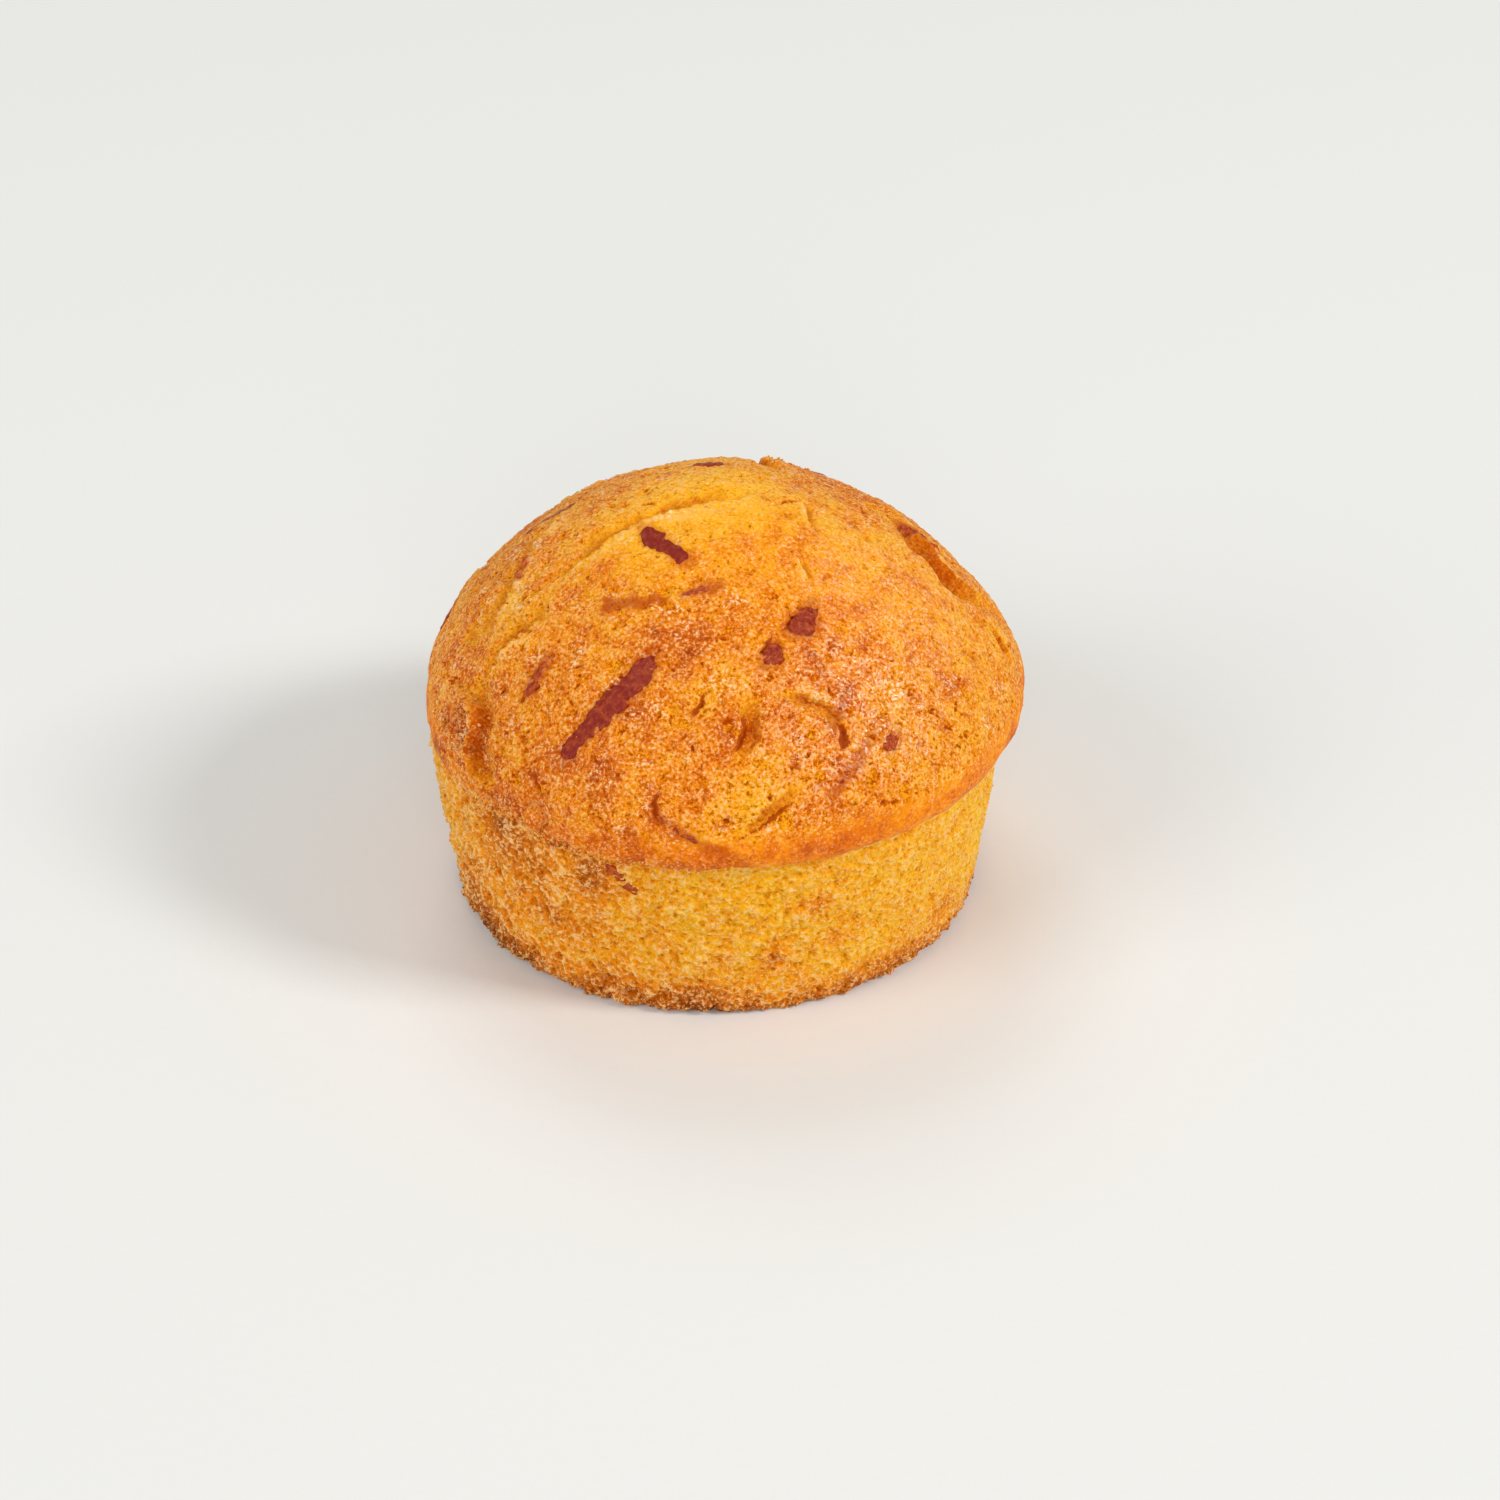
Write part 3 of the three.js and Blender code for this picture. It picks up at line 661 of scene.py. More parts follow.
def crust_skin(place, normal, bare, smoothed):
    """The fine relief in mm, the height that sets its colour, then how bare, how split and how calm it is."""
    _bead, groove = bead_relief(place)
    crack_and_shade = GROOVE_SHADE * groove
    split = 0.0
    for crack in cracks:
        rise, gape, _edge = crack.relief(place, normal)
        split += rise
        crack_and_shade = max(crack_and_shade, gape)
    hollow, pit = (bubble * (1 - smoothed) * (1 - bare) for bubble in bubbles(place))
    keen = (1 - smoothed) * (1 - 0.25 * max(bare, hollow))
    fine = grain(place) * keen
    broken = BUBBLE_DEPTH * max(hollow, pit) + HAIR_DEPTH * hair_cracks(place) * keen
    # hollows and pits are set lower here, so that they take a darker colour: painted shade
    grain_and_shade = fine - 0.3 * hollow - 0.7 * pit
    return split + fine - broken, grain_and_shade, max(bare, 0.35 * hollow), crack_and_shade, 1 - keen


print("grain %.2f mm high on ridges %.1f mm apart" % (GRAIN_HEIGHT, RIDGE_SPACING))

# %% Helpers that every piece uses


def new_object(name, mesh):
    """A piece of the muffin: smooth, on the muffin's body, standing for the solid."""
    mesh.shade_smooth()
    piece = bpy.data.objects.new(name, mesh)
    bpy.context.scene.collection.objects.link(piece)
    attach(piece, "root")
    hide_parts("muffin")
    size = [round(value / MM, 1) for value in piece.dimensions]
    print("%s: %d faces, %s mm" % (name, len(mesh.polygons), size))
    return piece


def mesh_in_metres(name, bm):
    """Turn a bmesh in millimetres into a mesh in metres."""
    bmesh.ops.scale(bm, vec=(MM, MM, MM), verts=bm.verts)
    mesh = bpy.data.meshes.new(name)
    bm.to_mesh(mesh)
    bm.free()
    return mesh


def open_edges(bm):
    return [edge for edge in bm.edges if edge.is_boundary]


# %% One vertex of the crust
# Torn rims are paler: partly the yellow of a late tear, partly painted light on the edge that stands up.
RIM_PALENESS_AND_LIGHT = 0.6
RIM_DRYNESS_AND_LIGHT = 0.3
CRUMB_DRYNESS = 0.7
CALMEST = 0.6
# From here on, in mm below the lip
LIP_SMOOTH = (-7.0, -3.0)
LIP_BROWNED = (-6.0, -1.5)
TUCK_FROM = -0.2
LIP_BROWNING = 0.4
TUCK_IN = 1.4


def crust_vertex(azimuth, arc):
    """Where a vertex of the crust goes, in mm, and what the material needs to know of it."""
    below_lip = arc - lip_arc(azimuth)
    torn = lip_torn(azimuth)
    place, normal = surface(azimuth, arc)
    height, bare, rim = crust_form(place, normal)
    smoothed = 0.85 * smooth(*LIP_SMOOTH, below_lip) * (1 - 0.8 * torn)
    smoothed = max(smoothed, min(strength_at(calm_spots, place), CALMEST))
    skin, fine, bare, crack_and_shade, calm = crust_skin(place, normal, bare, smoothed)
    roll = LIP_ROLL * math.exp(-(((below_lip + LIP_ROLL_WIDTH) / LIP_ROLL_WIDTH) ** 2))
    roll *= 1 - torn
    tuck = (LIP_STEP + TUCK_IN) * smooth(TUCK_FROM, CRUST_TUCK, below_lip)
    facts = {
        "toast_and_light": toast_and_light(place) + LIP_BROWNING * smooth(*LIP_BROWNED, below_lip) - RIM_PALENESS_AND_LIGHT * rim,
        "depth": fine + RIM_DRYNESS_AND_LIGHT * rim + CRUMB_DRYNESS * crumbs_baked_on(place),
        "bare": bare,
        "crack": crack_and_shade,
        "calm": calm,
        "stain": max(shred.stain(place) for shred in shreds.values()),
        "glaze": min(GLAZED_ELSEWHERE + strength_at(glaze_and_sheen_spots, place), 1),
    }
    return place + normal * (height + skin + roll - tuck + swelling(place)), facts


# %% Lay half an icosphere over the dome
ATTRIBUTES = ("toast_and_light", "depth", "bare", "crack", "calm", "stain", "glaze")
LIP_FOLLOWED_FROM = 36
CRUST_MAP_RADIUS = 0.48


def make_crust():
    bm = bmesh.new()
    bmesh.ops.create_icosphere(bm, subdivisions=CRUST_SUBDIVISIONS, radius=1.0)
    whole = [*bm.verts, *bm.edges, *bm.faces]
    bmesh.ops.bisect_plane(bm, geom=whole, plane_no=(0, 0, 1), clear_inner=True, dist=0.0005)
    layer = {name: bm.verts.layers.float.new(name) for name in ATTRIBUTES}
    flat = bm.loops.layers.uv.new("OFBake")
    spots_on_map = {}
    for vert in bm.verts:
        azimuth = math.degrees(math.atan2(vert.co.x, -vert.co.y))
        arc = arc_for_share(1 - max(vert.co.z, 0))
        arc += (lip_arc(azimuth) + CRUST_TUCK - DOME_ARC) * smooth(LIP_FOLLOWED_FROM, DOME_ARC, arc)
        vert.co, facts = crust_vertex(azimuth, arc)
        for name, value in facts.items():
            vert[layer[name]] = value
        turn = math.radians(azimuth)
        spots_on_map[vert.index] = (arc * math.sin(turn), -arc * math.cos(turn))
    close_crust(bm, flat, spots_on_map)
    return new_object("crust", mesh_in_metres("crust", bm))


def close_crust(bm, flat, spots_on_map):
    """Turn the lip's edge in under the dome and close it, and lay the crust out flat round the crown."""
    scale = CRUST_MAP_RADIUS / (DOME_ARC + CRUST_TUCK + CRUST_THICKNESS)
    for face in bm.faces:
        for loop in face.loops:
            x, y = spots_on_map[loop.vert.index]
            loop[flat].uv = (0.5 + x * scale, 0.5 + y * scale)
    hem = bmesh.ops.extrude_edge_only(bm, edges=open_edges(bm))["geom"]
    for vert in (item for item in hem if isinstance(item, bmesh.types.BMVert)):
        inward = Vector((DOME_SHIFT - vert.co.x, -vert.co.y, 0)).normalized()
        vert.co += inward * CRUST_THICKNESS + Vector((0, 0, 1))
    floor = bmesh.ops.holes_fill(bm, edges=open_edges(bm), sides=0)["faces"]
    fan = bmesh.ops.poke(bm, faces=floor)["faces"]
    bmesh.ops.recalc_face_normals(bm, faces=bm.faces)
    hidden = {item for item in hem if isinstance(item, bmesh.types.BMFace)} | set(fan)
    for face in hidden:
        for loop in face.loops:
            loop[flat].uv = (0.05 + loop.vert.co.x * 0.001, 0.05 + loop.vert.co.y * 0.001)


crust = make_crust()

# %% [markdown]
# ## The crumb
#
# Where the mould pulled away, the wall shows the crumb: a net of curly ridges round soft hollows, and open
# bubbles here and there. A profile of the wall and the underside is spun into a closed body. The net comes
# from smooth noise: the lines where it crosses zero wander and join just as the ridges of a torn crumb do.

# %% The sponge
NET_SIZE = 1.15
NET_HEIGHT = 0.42
NET_FLATNESS = 1.2
HOLE_SIZE = 2.3
HOLE_DEPTH = 0.32
FOOT_HEIGHT = 5.0


def net(place):
    """The net of the torn crumb: 1 on a ridge, 0 in the hollow between ridges."""
    wander = place + 0.4 * noise.noise_vector(place / 1.1)
    squeezed = Vector((wander.x, wander.y, wander.z * NET_FLATNESS))
    return 1 - smooth(0.04, 0.34, abs(noise.noise(squeezed / NET_SIZE)))


def holes(place):
    """Open bubbles in the net: 0 outside, 1 at the bottom."""
    wander = place + 0.5 * noise.noise_vector(place / 1.1)
    squeezed = Vector((wander.x, wander.y, wander.z * NET_FLATNESS))
    return smooth(0.28, 0.5, noise.noise(squeezed / HOLE_SIZE * 1.6 + Vector((3.0, 3.0, 3.0))))


def crumb_relief(place):
    """Height over the smooth form in mm, and how far it stands out of or lies in the sponge."""
    ridge = net(place)
    hole = holes(place)
    coarse = (0.2 + 0.4 * smooth(0, -30, place.x)) * noise.noise(place / 2.2)
    coarse += 0.25 * noise.noise(place / 5.0)
    fine = 0.10 * noise.noise(place / 0.6)
    crumbly = 0.6 * noise.noise(place / 1.6 + Vector((8.0, 1.0, 2.0))) * smooth(FOOT_HEIGHT, 0.0, place.z)
    torn = 0.6 + 0.4 * smooth(15, -25, place.x)
    height = coarse + fine + torn * NET_HEIGHT * (ridge - 0.5) - HOLE_DEPTH * hole + crumbly
    # the second number sets the colour: low, and so darker, in holes and between ridges, partly painted shade
    return height, torn * 0.6 * (ridge - 0.45) + fine - 0.4 * hole + 0.4 * crumbly + 0.35 * coarse


print("the ridges are %.1f mm apart and %.2f mm high" % (NET_SIZE, NET_HEIGHT))

# %% How the wall browned, and where painted shade darkens it
WALL_TOAST_AND_SHADE = {
    # painted shade, in part: the wall is browner at the left, away from the strongest lamp, and under the lip
    "brown left": (-38, 64, 8, 0.45),
    "under the lip": (-24, 59.5, 3.5, 0.7),
    "under the groove": (-47, 58.0, 3.0, 0.5),
    "left of the middle": (-27, 68.0, 6.0, 0.15),
    "upper spot": (20.5, 64.8, 1.8, 0.6),
    "lower spot": (12, 73, 2.0, 0.5),
    "low spot right": (24, 71.5, 1.6, 0.45),
    "edge spot": (56, 76, 2.2, 0.4),
    "left foot": (-60, 76, 7, 0.5),
    "front foot": (-5, 81, 8, 0.35),
    "back spot": (150, 68, 5, 0.35),
    "back left spot": (-130, 72, 7, 0.35),
}
wall_toast_and_shade_spots = on_surface(WALL_TOAST_AND_SHADE)


def wall_toast_and_shade(place):
    """Browned most at the foot, where the mould was hottest, and darker at left, partly painted shade."""
    total = 0.25 * noise.noise(place / 4.5 + Vector((5.0, 2.0, 9.0)))
    total += 1.05 * smooth(7.5, -1.0, place.z + 2.0 * noise.noise(place / 5))
    # darker towards the left, away from the strongest lamp: partly painted shade
    total += 0.3 * smooth(0, -38, place.x)
    return total + strength_at(wall_toast_and_shade_spots, place)


print("browning at the top of the wall %.2f, at its foot %.2f" % (
    wall_toast_and_shade(surface(0, LIP_ARC)[0]), wall_toast_and_shade(surface(0, WHOLE_ARC)[0])))

# %% Spin the wall and the underside
WALL_FACETS = 880
WALL_ROWS = 100
UNDERSIDE_ROWS = 7
WALL_TOP_HEIGHT = 30.5


def spin_profile(bm):
    """A closed body of the wall, the underside and a hidden top, with plain faces."""
    profile = [(0, WALL_TOP_HEIGHT), (WIDEST_RADIUS, WALL_TOP_HEIGHT), (BASE_RADIUS, 0), (0, 0)]
    corners = [bm.verts.new((0, -radius, height)) for radius, height in profile]
    _top, wall, floor = [bm.edges.new(pair) for pair in zip(corners, corners[1:])]
    bmesh.ops.subdivide_edges(bm, edges=[wall], cuts=WALL_ROWS)
    bmesh.ops.subdivide_edges(bm, edges=[floor], cuts=UNDERSIDE_ROWS)
    bmesh.ops.spin(bm, geom=[*bm.verts, *bm.edges], axis=(0, 0, 1), angle=2 * math.pi,
                   steps=WALL_FACETS, use_merge=True)
    bmesh.ops.remove_doubles(bm, verts=bm.verts, dist=0.001)
    bmesh.ops.recalc_face_normals(bm, faces=bm.faces)


# %% Lay the crumb out flat
MAP_SCALE = 0.007


def lay_out_crumb(bm, flat):
    """Two rows of half the wall each, and discs for the underside and the hidden top."""
    for face in bm.faces:
        middle = face.calc_center_median()
        turn = math.atan2(middle.x, -middle.y)
        for loop in face.loops:
            x, y, z = loop.vert.co
            if face.normal.z < -0.9:
                loop[flat].uv = (0.26 + x * MAP_SCALE, 0.74 + y * MAP_SCALE)
            elif face.normal.z > 0.9:
                loop[flat].uv = (0.76 + x * MAP_SCALE / 2, 0.74 + y * MAP_SCALE / 2)
            else:
                own = math.atan2(x, -y)
                own += 2 * math.pi * round((turn - own) / (2 * math.pi))
                side = own + (math.pi if turn < 0 else 0)
                row = 0.02 if turn < 0 else 0.26
                loop[flat].uv = (0.04 + side * LIP_RADIUS * MAP_SCALE, row + z * MAP_SCALE)


# %% Give the wall its sponge and the underside its dimples
WALL_TOP_ARC = WIDEST_ARC + 0.6
BASE_EDGE = 0.6
DIMPLE_SIZE = 2.4
DIMPLE_DEPTH = 0.35
DIMPLES_FADE = 6


def make_crumb():
    bm = bmesh.new()
    spin_profile(bm)
    flat = bm.loops.layers.uv.new("OFBake")
    lay_out_crumb(bm, flat)
    layer = {name: bm.verts.layers.float.new(name) for name in ("depth", "toast_and_light")}
    for vert in bm.verts:
        radius, height = math.hypot(vert.co.x, vert.co.y), vert.co.z
        azimuth = math.degrees(math.atan2(vert.co.x, -vert.co.y))
        if radius > BASE_RADIUS - 0.01:
            arc = WHOLE_ARC - (WHOLE_ARC - WALL_TOP_ARC) * height / WALL_TOP_HEIGHT
            place, normal = surface(azimuth, arc)
            relief, vert[layer["depth"]] = crumb_relief(place)
            below_lip = arc - lip_arc(azimuth)
            inset = BASE_EDGE * smooth(1.0, 0.0, height) + lip_step(azimuth, below_lip)
            # browner just under the torn lip: partly painted shade of its overhang
            near_lip = lip_torn(azimuth) * math.exp(-max(below_lip, 0) / 2.5)
            vert[layer["toast_and_light"]] = wall_toast_and_shade(place) + 0.3 * near_lip
            vert.co = place + normal * (relief - inset + swelling(place))
            vert.co.z = max(vert.co.z, 0)
        elif height < 0.01:
            dimple = smooth(0.1, 0.5, noise.noise(vert.co / DIMPLE_SIZE))
            dimple *= smooth(BASE_RADIUS, BASE_RADIUS - DIMPLES_FADE, radius)
            # the dimples take the darker colour of hollows: partly painted shade
            vert[layer["depth"]] = 0.1 - 0.5 * dimple
            vert[layer["toast_and_light"]] = 0.8 + 0.3 * noise.noise(vert.co / 5)
            vert.co.z += DIMPLE_DEPTH * dimple
    return new_object("crumb", mesh_in_metres("crumb", bm))


crumb = make_crumb()

# %% [markdown]
# ## The red shreds
#
# Each shred is a limp strip that baked into the crust, with rounded edges, a frayed outline and a wavy top. A
# curve with a bevel would give smooth tubes, so a cube, cut finely along its length, is bent along the route.
# A shred that is baked over lies so low that the crust's grain stands through it and breaks up its outline.

# %% Bend a cube along each route
SHRED_THICKNESS = 1.5
SHRED_STEP = 0.26
SHRED_ROWS_ACROSS = 9
SHRED_ROWS_UP = 2
SHRED_ROUNDING = 3.5
SHRED_END = 8
HEADING_STEP = 0.02


def shred_spot(shred, share, side, level):
    """Where a corner of the cube goes: share is along the route, side and level run from -1 to 1."""
    swell = (abs(side) ** SHRED_ROUNDING + abs(level) ** SHRED_ROUNDING) ** (1 / SHRED_ROUNDING)
    swell = max(abs(side), abs(level)) / max(swell, 1e-6)
    azimuth, arc, width = along(shred.path, share)
    place, normal = surface(azimuth, arc)
    behind, before = (surface(*along(shred.path, min(max(share + step, 0), 1))[:2])[0]
                      for step in (-HEADING_STEP, HEADING_STEP))
    across = normal.cross(before - behind).normalized()
    ahead = (before - behind).normalized()
    end = max(1 - abs(2 * share - 1) ** SHRED_END, 0) ** 0.5
    half = width / 2 * (0.5 + 0.5 * end)
    spot = place + across * side * swell * half
    ragged = 0.4 * noise.noise_vector(spot / 1.6) + 0.2 * noise.noise_vector(spot / 0.75)
    spot += across * ragged.x + ahead * ragged.y * 1.5
    form, _bare, _rim = crust_form(spot, normal)
    wave = 0.22 * noise.noise(spot / 1.9) + 0.14 * noise.noise(spot / 0.8)
    top = shred.rise * (0.4 + 0.6 * end) + wave
    height = top + (level * swell - 1) * SHRED_THICKNESS / 2
    return spot + normal * (height + form + swelling(spot))


# %% Make the shreds one piece


def make_shred(shred):
    bm = bmesh.new()
    bmesh.ops.create_cube(bm, size=2.0)
    cuts = (max(int(shred.length / SHRED_STEP), 6), SHRED_ROWS_ACROSS, SHRED_ROWS_UP)
    for axis, count in enumerate(cuts):
        whole = [edge for edge in bm.edges if abs((edge.verts[0].co - edge.verts[1].co)[axis]) > 1.9]
        bmesh.ops.subdivide_edges(bm, edges=whole, cuts=count, use_grid_fill=True)
    faded = bm.verts.layers.float.new("faded")
    for vert in bm.verts:
        vert[faded] = shred.faded
        vert.co = shred_spot(shred, (vert.co.x + 1) / 2, vert.co.y, vert.co.z)
    bmesh.ops.recalc_face_normals(bm, faces=bm.faces)
    return mesh_in_metres("shred", bm)


def make_shreds():
    joined = bmesh.new()
    for shred in shreds.values():
        part = make_shred(shred)
        joined.from_mesh(part)
        bpy.data.meshes.remove(part)
    mesh = bpy.data.meshes.new("red_shreds")
    joined.to_mesh(mesh)
    joined.free()
    return new_object("red_shreds", mesh)


red_shreds = make_shreds()

# %% [markdown]
# ## Loose crumbs
#
# Crumbs cling to a turned-out muffin: to the torn wall, to its foot, and round the crags of the crust.
# Particles or instances would place them, but an export drops those, so the crumbs are joined into one mesh
# for each kind: a small icosphere is repeated by arrays, each with its own turn, size and dents.

# %% Scatter crumbs of bread
CRUMB_DENT = 0.3
CRUMB_STRETCH = (0.6, 1.3)
CRUMB_PALENESS = 0.15


def scatter(name, crumbs):
    """Many dented crumbs in one mesh, each its place, its size in mm and its browning with painted light."""
    template = bmesh.new()
    bmesh.ops.create_icosphere(template, subdivisions=1, radius=0.5)
    corners = np.array([vert.co for vert in template.verts])
    faces = np.array([[vert.index for vert in face.verts] for face in template.faces])
    template.free()
    count = len(crumbs)
    spots, sizes, browning_and_light = (np.array(column) for column in zip(*crumbs))
    turns = np.array([Matrix.Rotation(turn, 3, Vector(axis).normalized()) for turn, axis in zip(
        scatter_random.uniform(0, 2 * math.pi, count), scatter_random.uniform(-1, 1, (count, 3)))])
    dented = 1 + CRUMB_DENT * scatter_random.uniform(-1, 1, (count, len(corners), 1))
    stretch = scatter_random.uniform(*CRUMB_STRETCH, (count, 1, 3))
    shapes = np.einsum("nij,nkj->nki", turns, corners[None] * dented * stretch)
    shapes = shapes * sizes[:, None, None] + spots[:, None, :]
    shapes[:, :, 2] = np.maximum(shapes[:, :, 2], 0.0)
    numbering = faces[None] + (np.arange(count) * len(corners))[:, None, None]
    mesh = bpy.data.meshes.new(name)
    mesh.from_pydata((shapes.reshape(-1, 3) * MM).tolist(), [], numbering.reshape(-1, 3).tolist())
    toast_and_light_layer = mesh.attributes.new("toast_and_light", "FLOAT", "POINT")
    toast_and_light_layer.data.foreach_set("value", np.repeat(browning_and_light, len(corners)).astype(np.float32))
    raised = mesh.attributes.new("depth", "FLOAT", "POINT")
    raised.data.foreach_set("value", np.full(count * len(corners), CRUMB_PALENESS, np.float32))
    return new_object(name, mesh)


# %% Crumbs on the crust, round its crags
CRAGS = {
    # name: (azimuth, arc, spread in degrees, spread in mm, count)
    "left crag": (-59, 48.0, 6, 3.0, 380),
    "left lip": (-48, 55.2, 8, 1.2, 380),
    "torn lip": (-28, 56.2, 14, 0.7, 300),
    "back valley": (160, 26, 6, 5.0, 120),
    "back lip": (140, 54.5, 30, 1.0, 200),
}


def crust_crumbs():
    crumbs = []
    for azimuth, arc, spread, spread_arc, count in CRAGS.values():
        azimuths = scatter_random.normal(azimuth, spread, count)
        arcs = scatter_random.normal(arc, spread_arc, count)
        for azimuth_here, arc_here in zip(azimuths, arcs):
            if arc_here > lip_arc(azimuth_here) + 0.8:
                continue
            place, normal = surface(azimuth_here, arc_here)
            form, _bare, _rim = crust_form(place, normal)
            size = 0.25 + 0.4 * scatter_random.random() ** 2
            spot = place + normal * (form + swelling(place) + grain(place) + 0.05)
            crumbs.append((spot, size, toast_and_light(place) + scatter_random.uniform(-0.7, 0.0)))
    return crumbs


crust_grains = scatter("crust_grains", crust_crumbs())

# %% Crumbs on the wall, crowded round its foot
WALL_CRUMBS = 2600
FOOT_CRUMBS = 1400


def wall_crumb_list():
    arcs = np.concatenate([
        scatter_random.uniform(LIP_ARC + 0.5, WHOLE_ARC - 0.5, WALL_CRUMBS),
        WHOLE_ARC - 0.3 - np.abs(scatter_random.normal(0, 1.5, FOOT_CRUMBS)),
    ])
    crumbs = []
    for azimuth, arc in zip(scatter_random.uniform(-180, 180, len(arcs)), arcs):
        if arc < lip_arc(azimuth) + 0.4:
            continue
        place, normal = surface(azimuth, arc)
        relief, _depth = crumb_relief(place)
        size = 0.25 + 0.35 * scatter_random.random() ** 2
        inset = BASE_EDGE * smooth(1.0, 0.0, place.z) + lip_step(azimuth, arc - lip_arc(azimuth))
        spot = place + normal * (relief - inset + swelling(place))
        crumbs.append((spot, size, wall_toast_and_shade(place) + scatter_random.uniform(-0.3, 0.2)))
    return crumbs


wall_crumbs = scatter("wall_crumbs", wall_crumb_list())

# %% [markdown]
# ## Finishes
#
# Bread is lit from within: light enters it and comes out warmer a millimetre on, so the crust and the crumb
# scatter light under their surface. Only the loose crumbs are too small for that. The patterns are worked out
# from sizes in millimetres, and colours are written as sRGB hex values, the way a colour picker shows them.
# One small function adds a node with its settings and links.

# %% Helpers for materials


def linear(hex_colour):
    """An sRGB hex colour as linear values for a shader."""
    parts = [int(hex_colour[index:index + 2], 16) / 255 for index in (1, 3, 5)]
    return [part / 12.92 if part <= 0.04045 else ((part + 0.055) / 1.055) ** 2.4 for part in parts] + [1.0]


def per_metre(millimetres):
    """The scale of a pattern whose features are this far apart."""
    return 1 / (millimetres * MM)


def new_material(name, *pieces):
    """An empty node material on these pieces."""
    material = bpy.data.materials.new(name)
    material.use_nodes = True
    material.node_tree.nodes.clear()
    for piece in pieces:
        piece.data.materials.append(material)
    return material


def add_node(material, kind, inputs, stops=(), **settings):
    """Add a node and give back its outputs. An input is a value, a hex colour or another node's output."""
    tree = material.node_tree
    node = tree.nodes.new("ShaderNode" + kind)
    for name, value in settings.items():
        setattr(node, name, value)
    for place, _colour in stops[2:]:
        node.color_ramp.elements.new(place)
    for element, (place, colour) in zip(node.color_ramp.elements if stops else (), sorted(stops)):
        element.position = place
        element.color = linear(colour)
    for name, value in inputs.items():
        if isinstance(value, bpy.types.NodeSocket):
            tree.links.new(value, node.inputs[name])
        else:
            node.inputs[name].default_value = linear(value) if isinstance(value, str) else value
    return node.outputs


# %% [markdown]
# ### What crust and crumb share
#
# Both come from one batter, so they share a few patterns: grains of maize meal that differ in tone, the curly
# ridges of torn crumb with grit on them, and the way they brown. Fine meal is too small to show at this
# distance, so its grains are drawn at about 0.4 mm. A Voronoi pattern gives every grain numbers of its own.

# %% Grains of meal
MEAL_WANDER = 0.25


def meal_grains(add, spot, grain_size):
    """Grains of meal with uneven outlines. Each has three random numbers of its own, from 0 to 1."""
    uneven = add("TexNoise", {"Vector": spot, "Scale": per_metre(grain_size), "Detail": 1.0})["Color"]
    warped = add("VectorMath", {0: uneven, 1: [MEAL_WANDER * MM] * 3, 2: spot}, operation="MULTIPLY_ADD")[0]
    grains = add("TexVoronoi", {"Vector": warped, "Scale": per_metre(grain_size)})
    return add("SeparateColor", {"Color": grains["Color"]})


# %% Curly ridges with grit
GRIT = 0.42
RIDGE_WIDTH = 0.16


def curly_relief(add, spot, spacing, roughness, ridge_height, grit_height):
    """The grit alone, and curly ridges this many mm apart with the grit on them. Heights have no unit."""
    grit = add("TexNoise", {
        "Vector": spot, "Scale": per_metre(GRIT), "Detail": 3.0, "Roughness": 0.7})["Fac"]
    curls = add("TexNoise", {
        "Vector": spot, "Scale": per_metre(spacing), "Detail": 2.0, "Roughness": roughness})["Fac"]
    off_ridge = add("Math", {0: curls, 1: 0.5}, operation="SUBTRACT")[0]
    off_ridge = add("Math", {0: off_ridge}, operation="ABSOLUTE")[0]
    ridged = add("MapRange", {
        "Value": off_ridge, "From Max": RIDGE_WIDTH,
        "To Min": ridge_height, "To Max": -ridge_height})["Result"]
    rough = add("Math", {0: grit, 1: 2 * grit_height, 2: -grit_height}, operation="MULTIPLY_ADD")[0]
    return grit, add("Math", {0: ridged, 1: rough}, operation="ADD")[0]


# %% Browning
SPECKLING = 0.2


def browning(add, browning_and_light, mottle, mottling, grain, palest, darkest):
    """The patches, a mottle, and every grain a little browner or paler than the next, from 0 to 1."""
    mottled = add("MapRange", {
        "Value": mottle, "From Min": 0.3, "From Max": 0.7, "To Min": -mottling, "To Max": mottling})["Result"]
    speckled = add("MapRange", {"Value": grain, "To Min": -SPECKLING, "To Max": SPECKLING})["Result"]
    tone = add("Math", {0: browning_and_light, 1: mottled}, operation="ADD")[0]
    tone = add("Math", {0: tone, 1: speckled}, operation="ADD")[0]
    return add("MapRange", {"Value": tone, "From Min": palest, "From Max": darkest})["Result"]


def lay_over(add, under, over, value, low, high, most):
    """Lay one colour over another as a value goes from low to high, up to a share of most."""
    share = add("MapRange", {"Value": value, "From Min": low, "From Max": high, "To Max": most})["Result"]
    return add("Mix", {0: share, 6: under, 7: over}, data_type="RGBA")[2]


# %% [markdown]
# ### Baked crust
#
# A crust of sugar, egg and maize meal, dried by the oven and brown from it. To the eye it is a satin skin
# over a
# warm, glowing body: its hollows are darker, partly deeper colour and partly painted shade, its flakes are
# dry and pale with some painted light, and a thin glaze catches the light as sparkles on what stands up.
# Where the glaze is thickest, its grains have pale specks of painted sheen. The browning, the folds and the
# coarse grain come from the vertices, so they fit the shape, and noise adds what is finer. Each layer of the
# real crust is a function of its own.

# %% The skin, its white flecks and its painted pit shade
CLUSTER = 3.5
PIT_SHADE_SPACING = 3.2


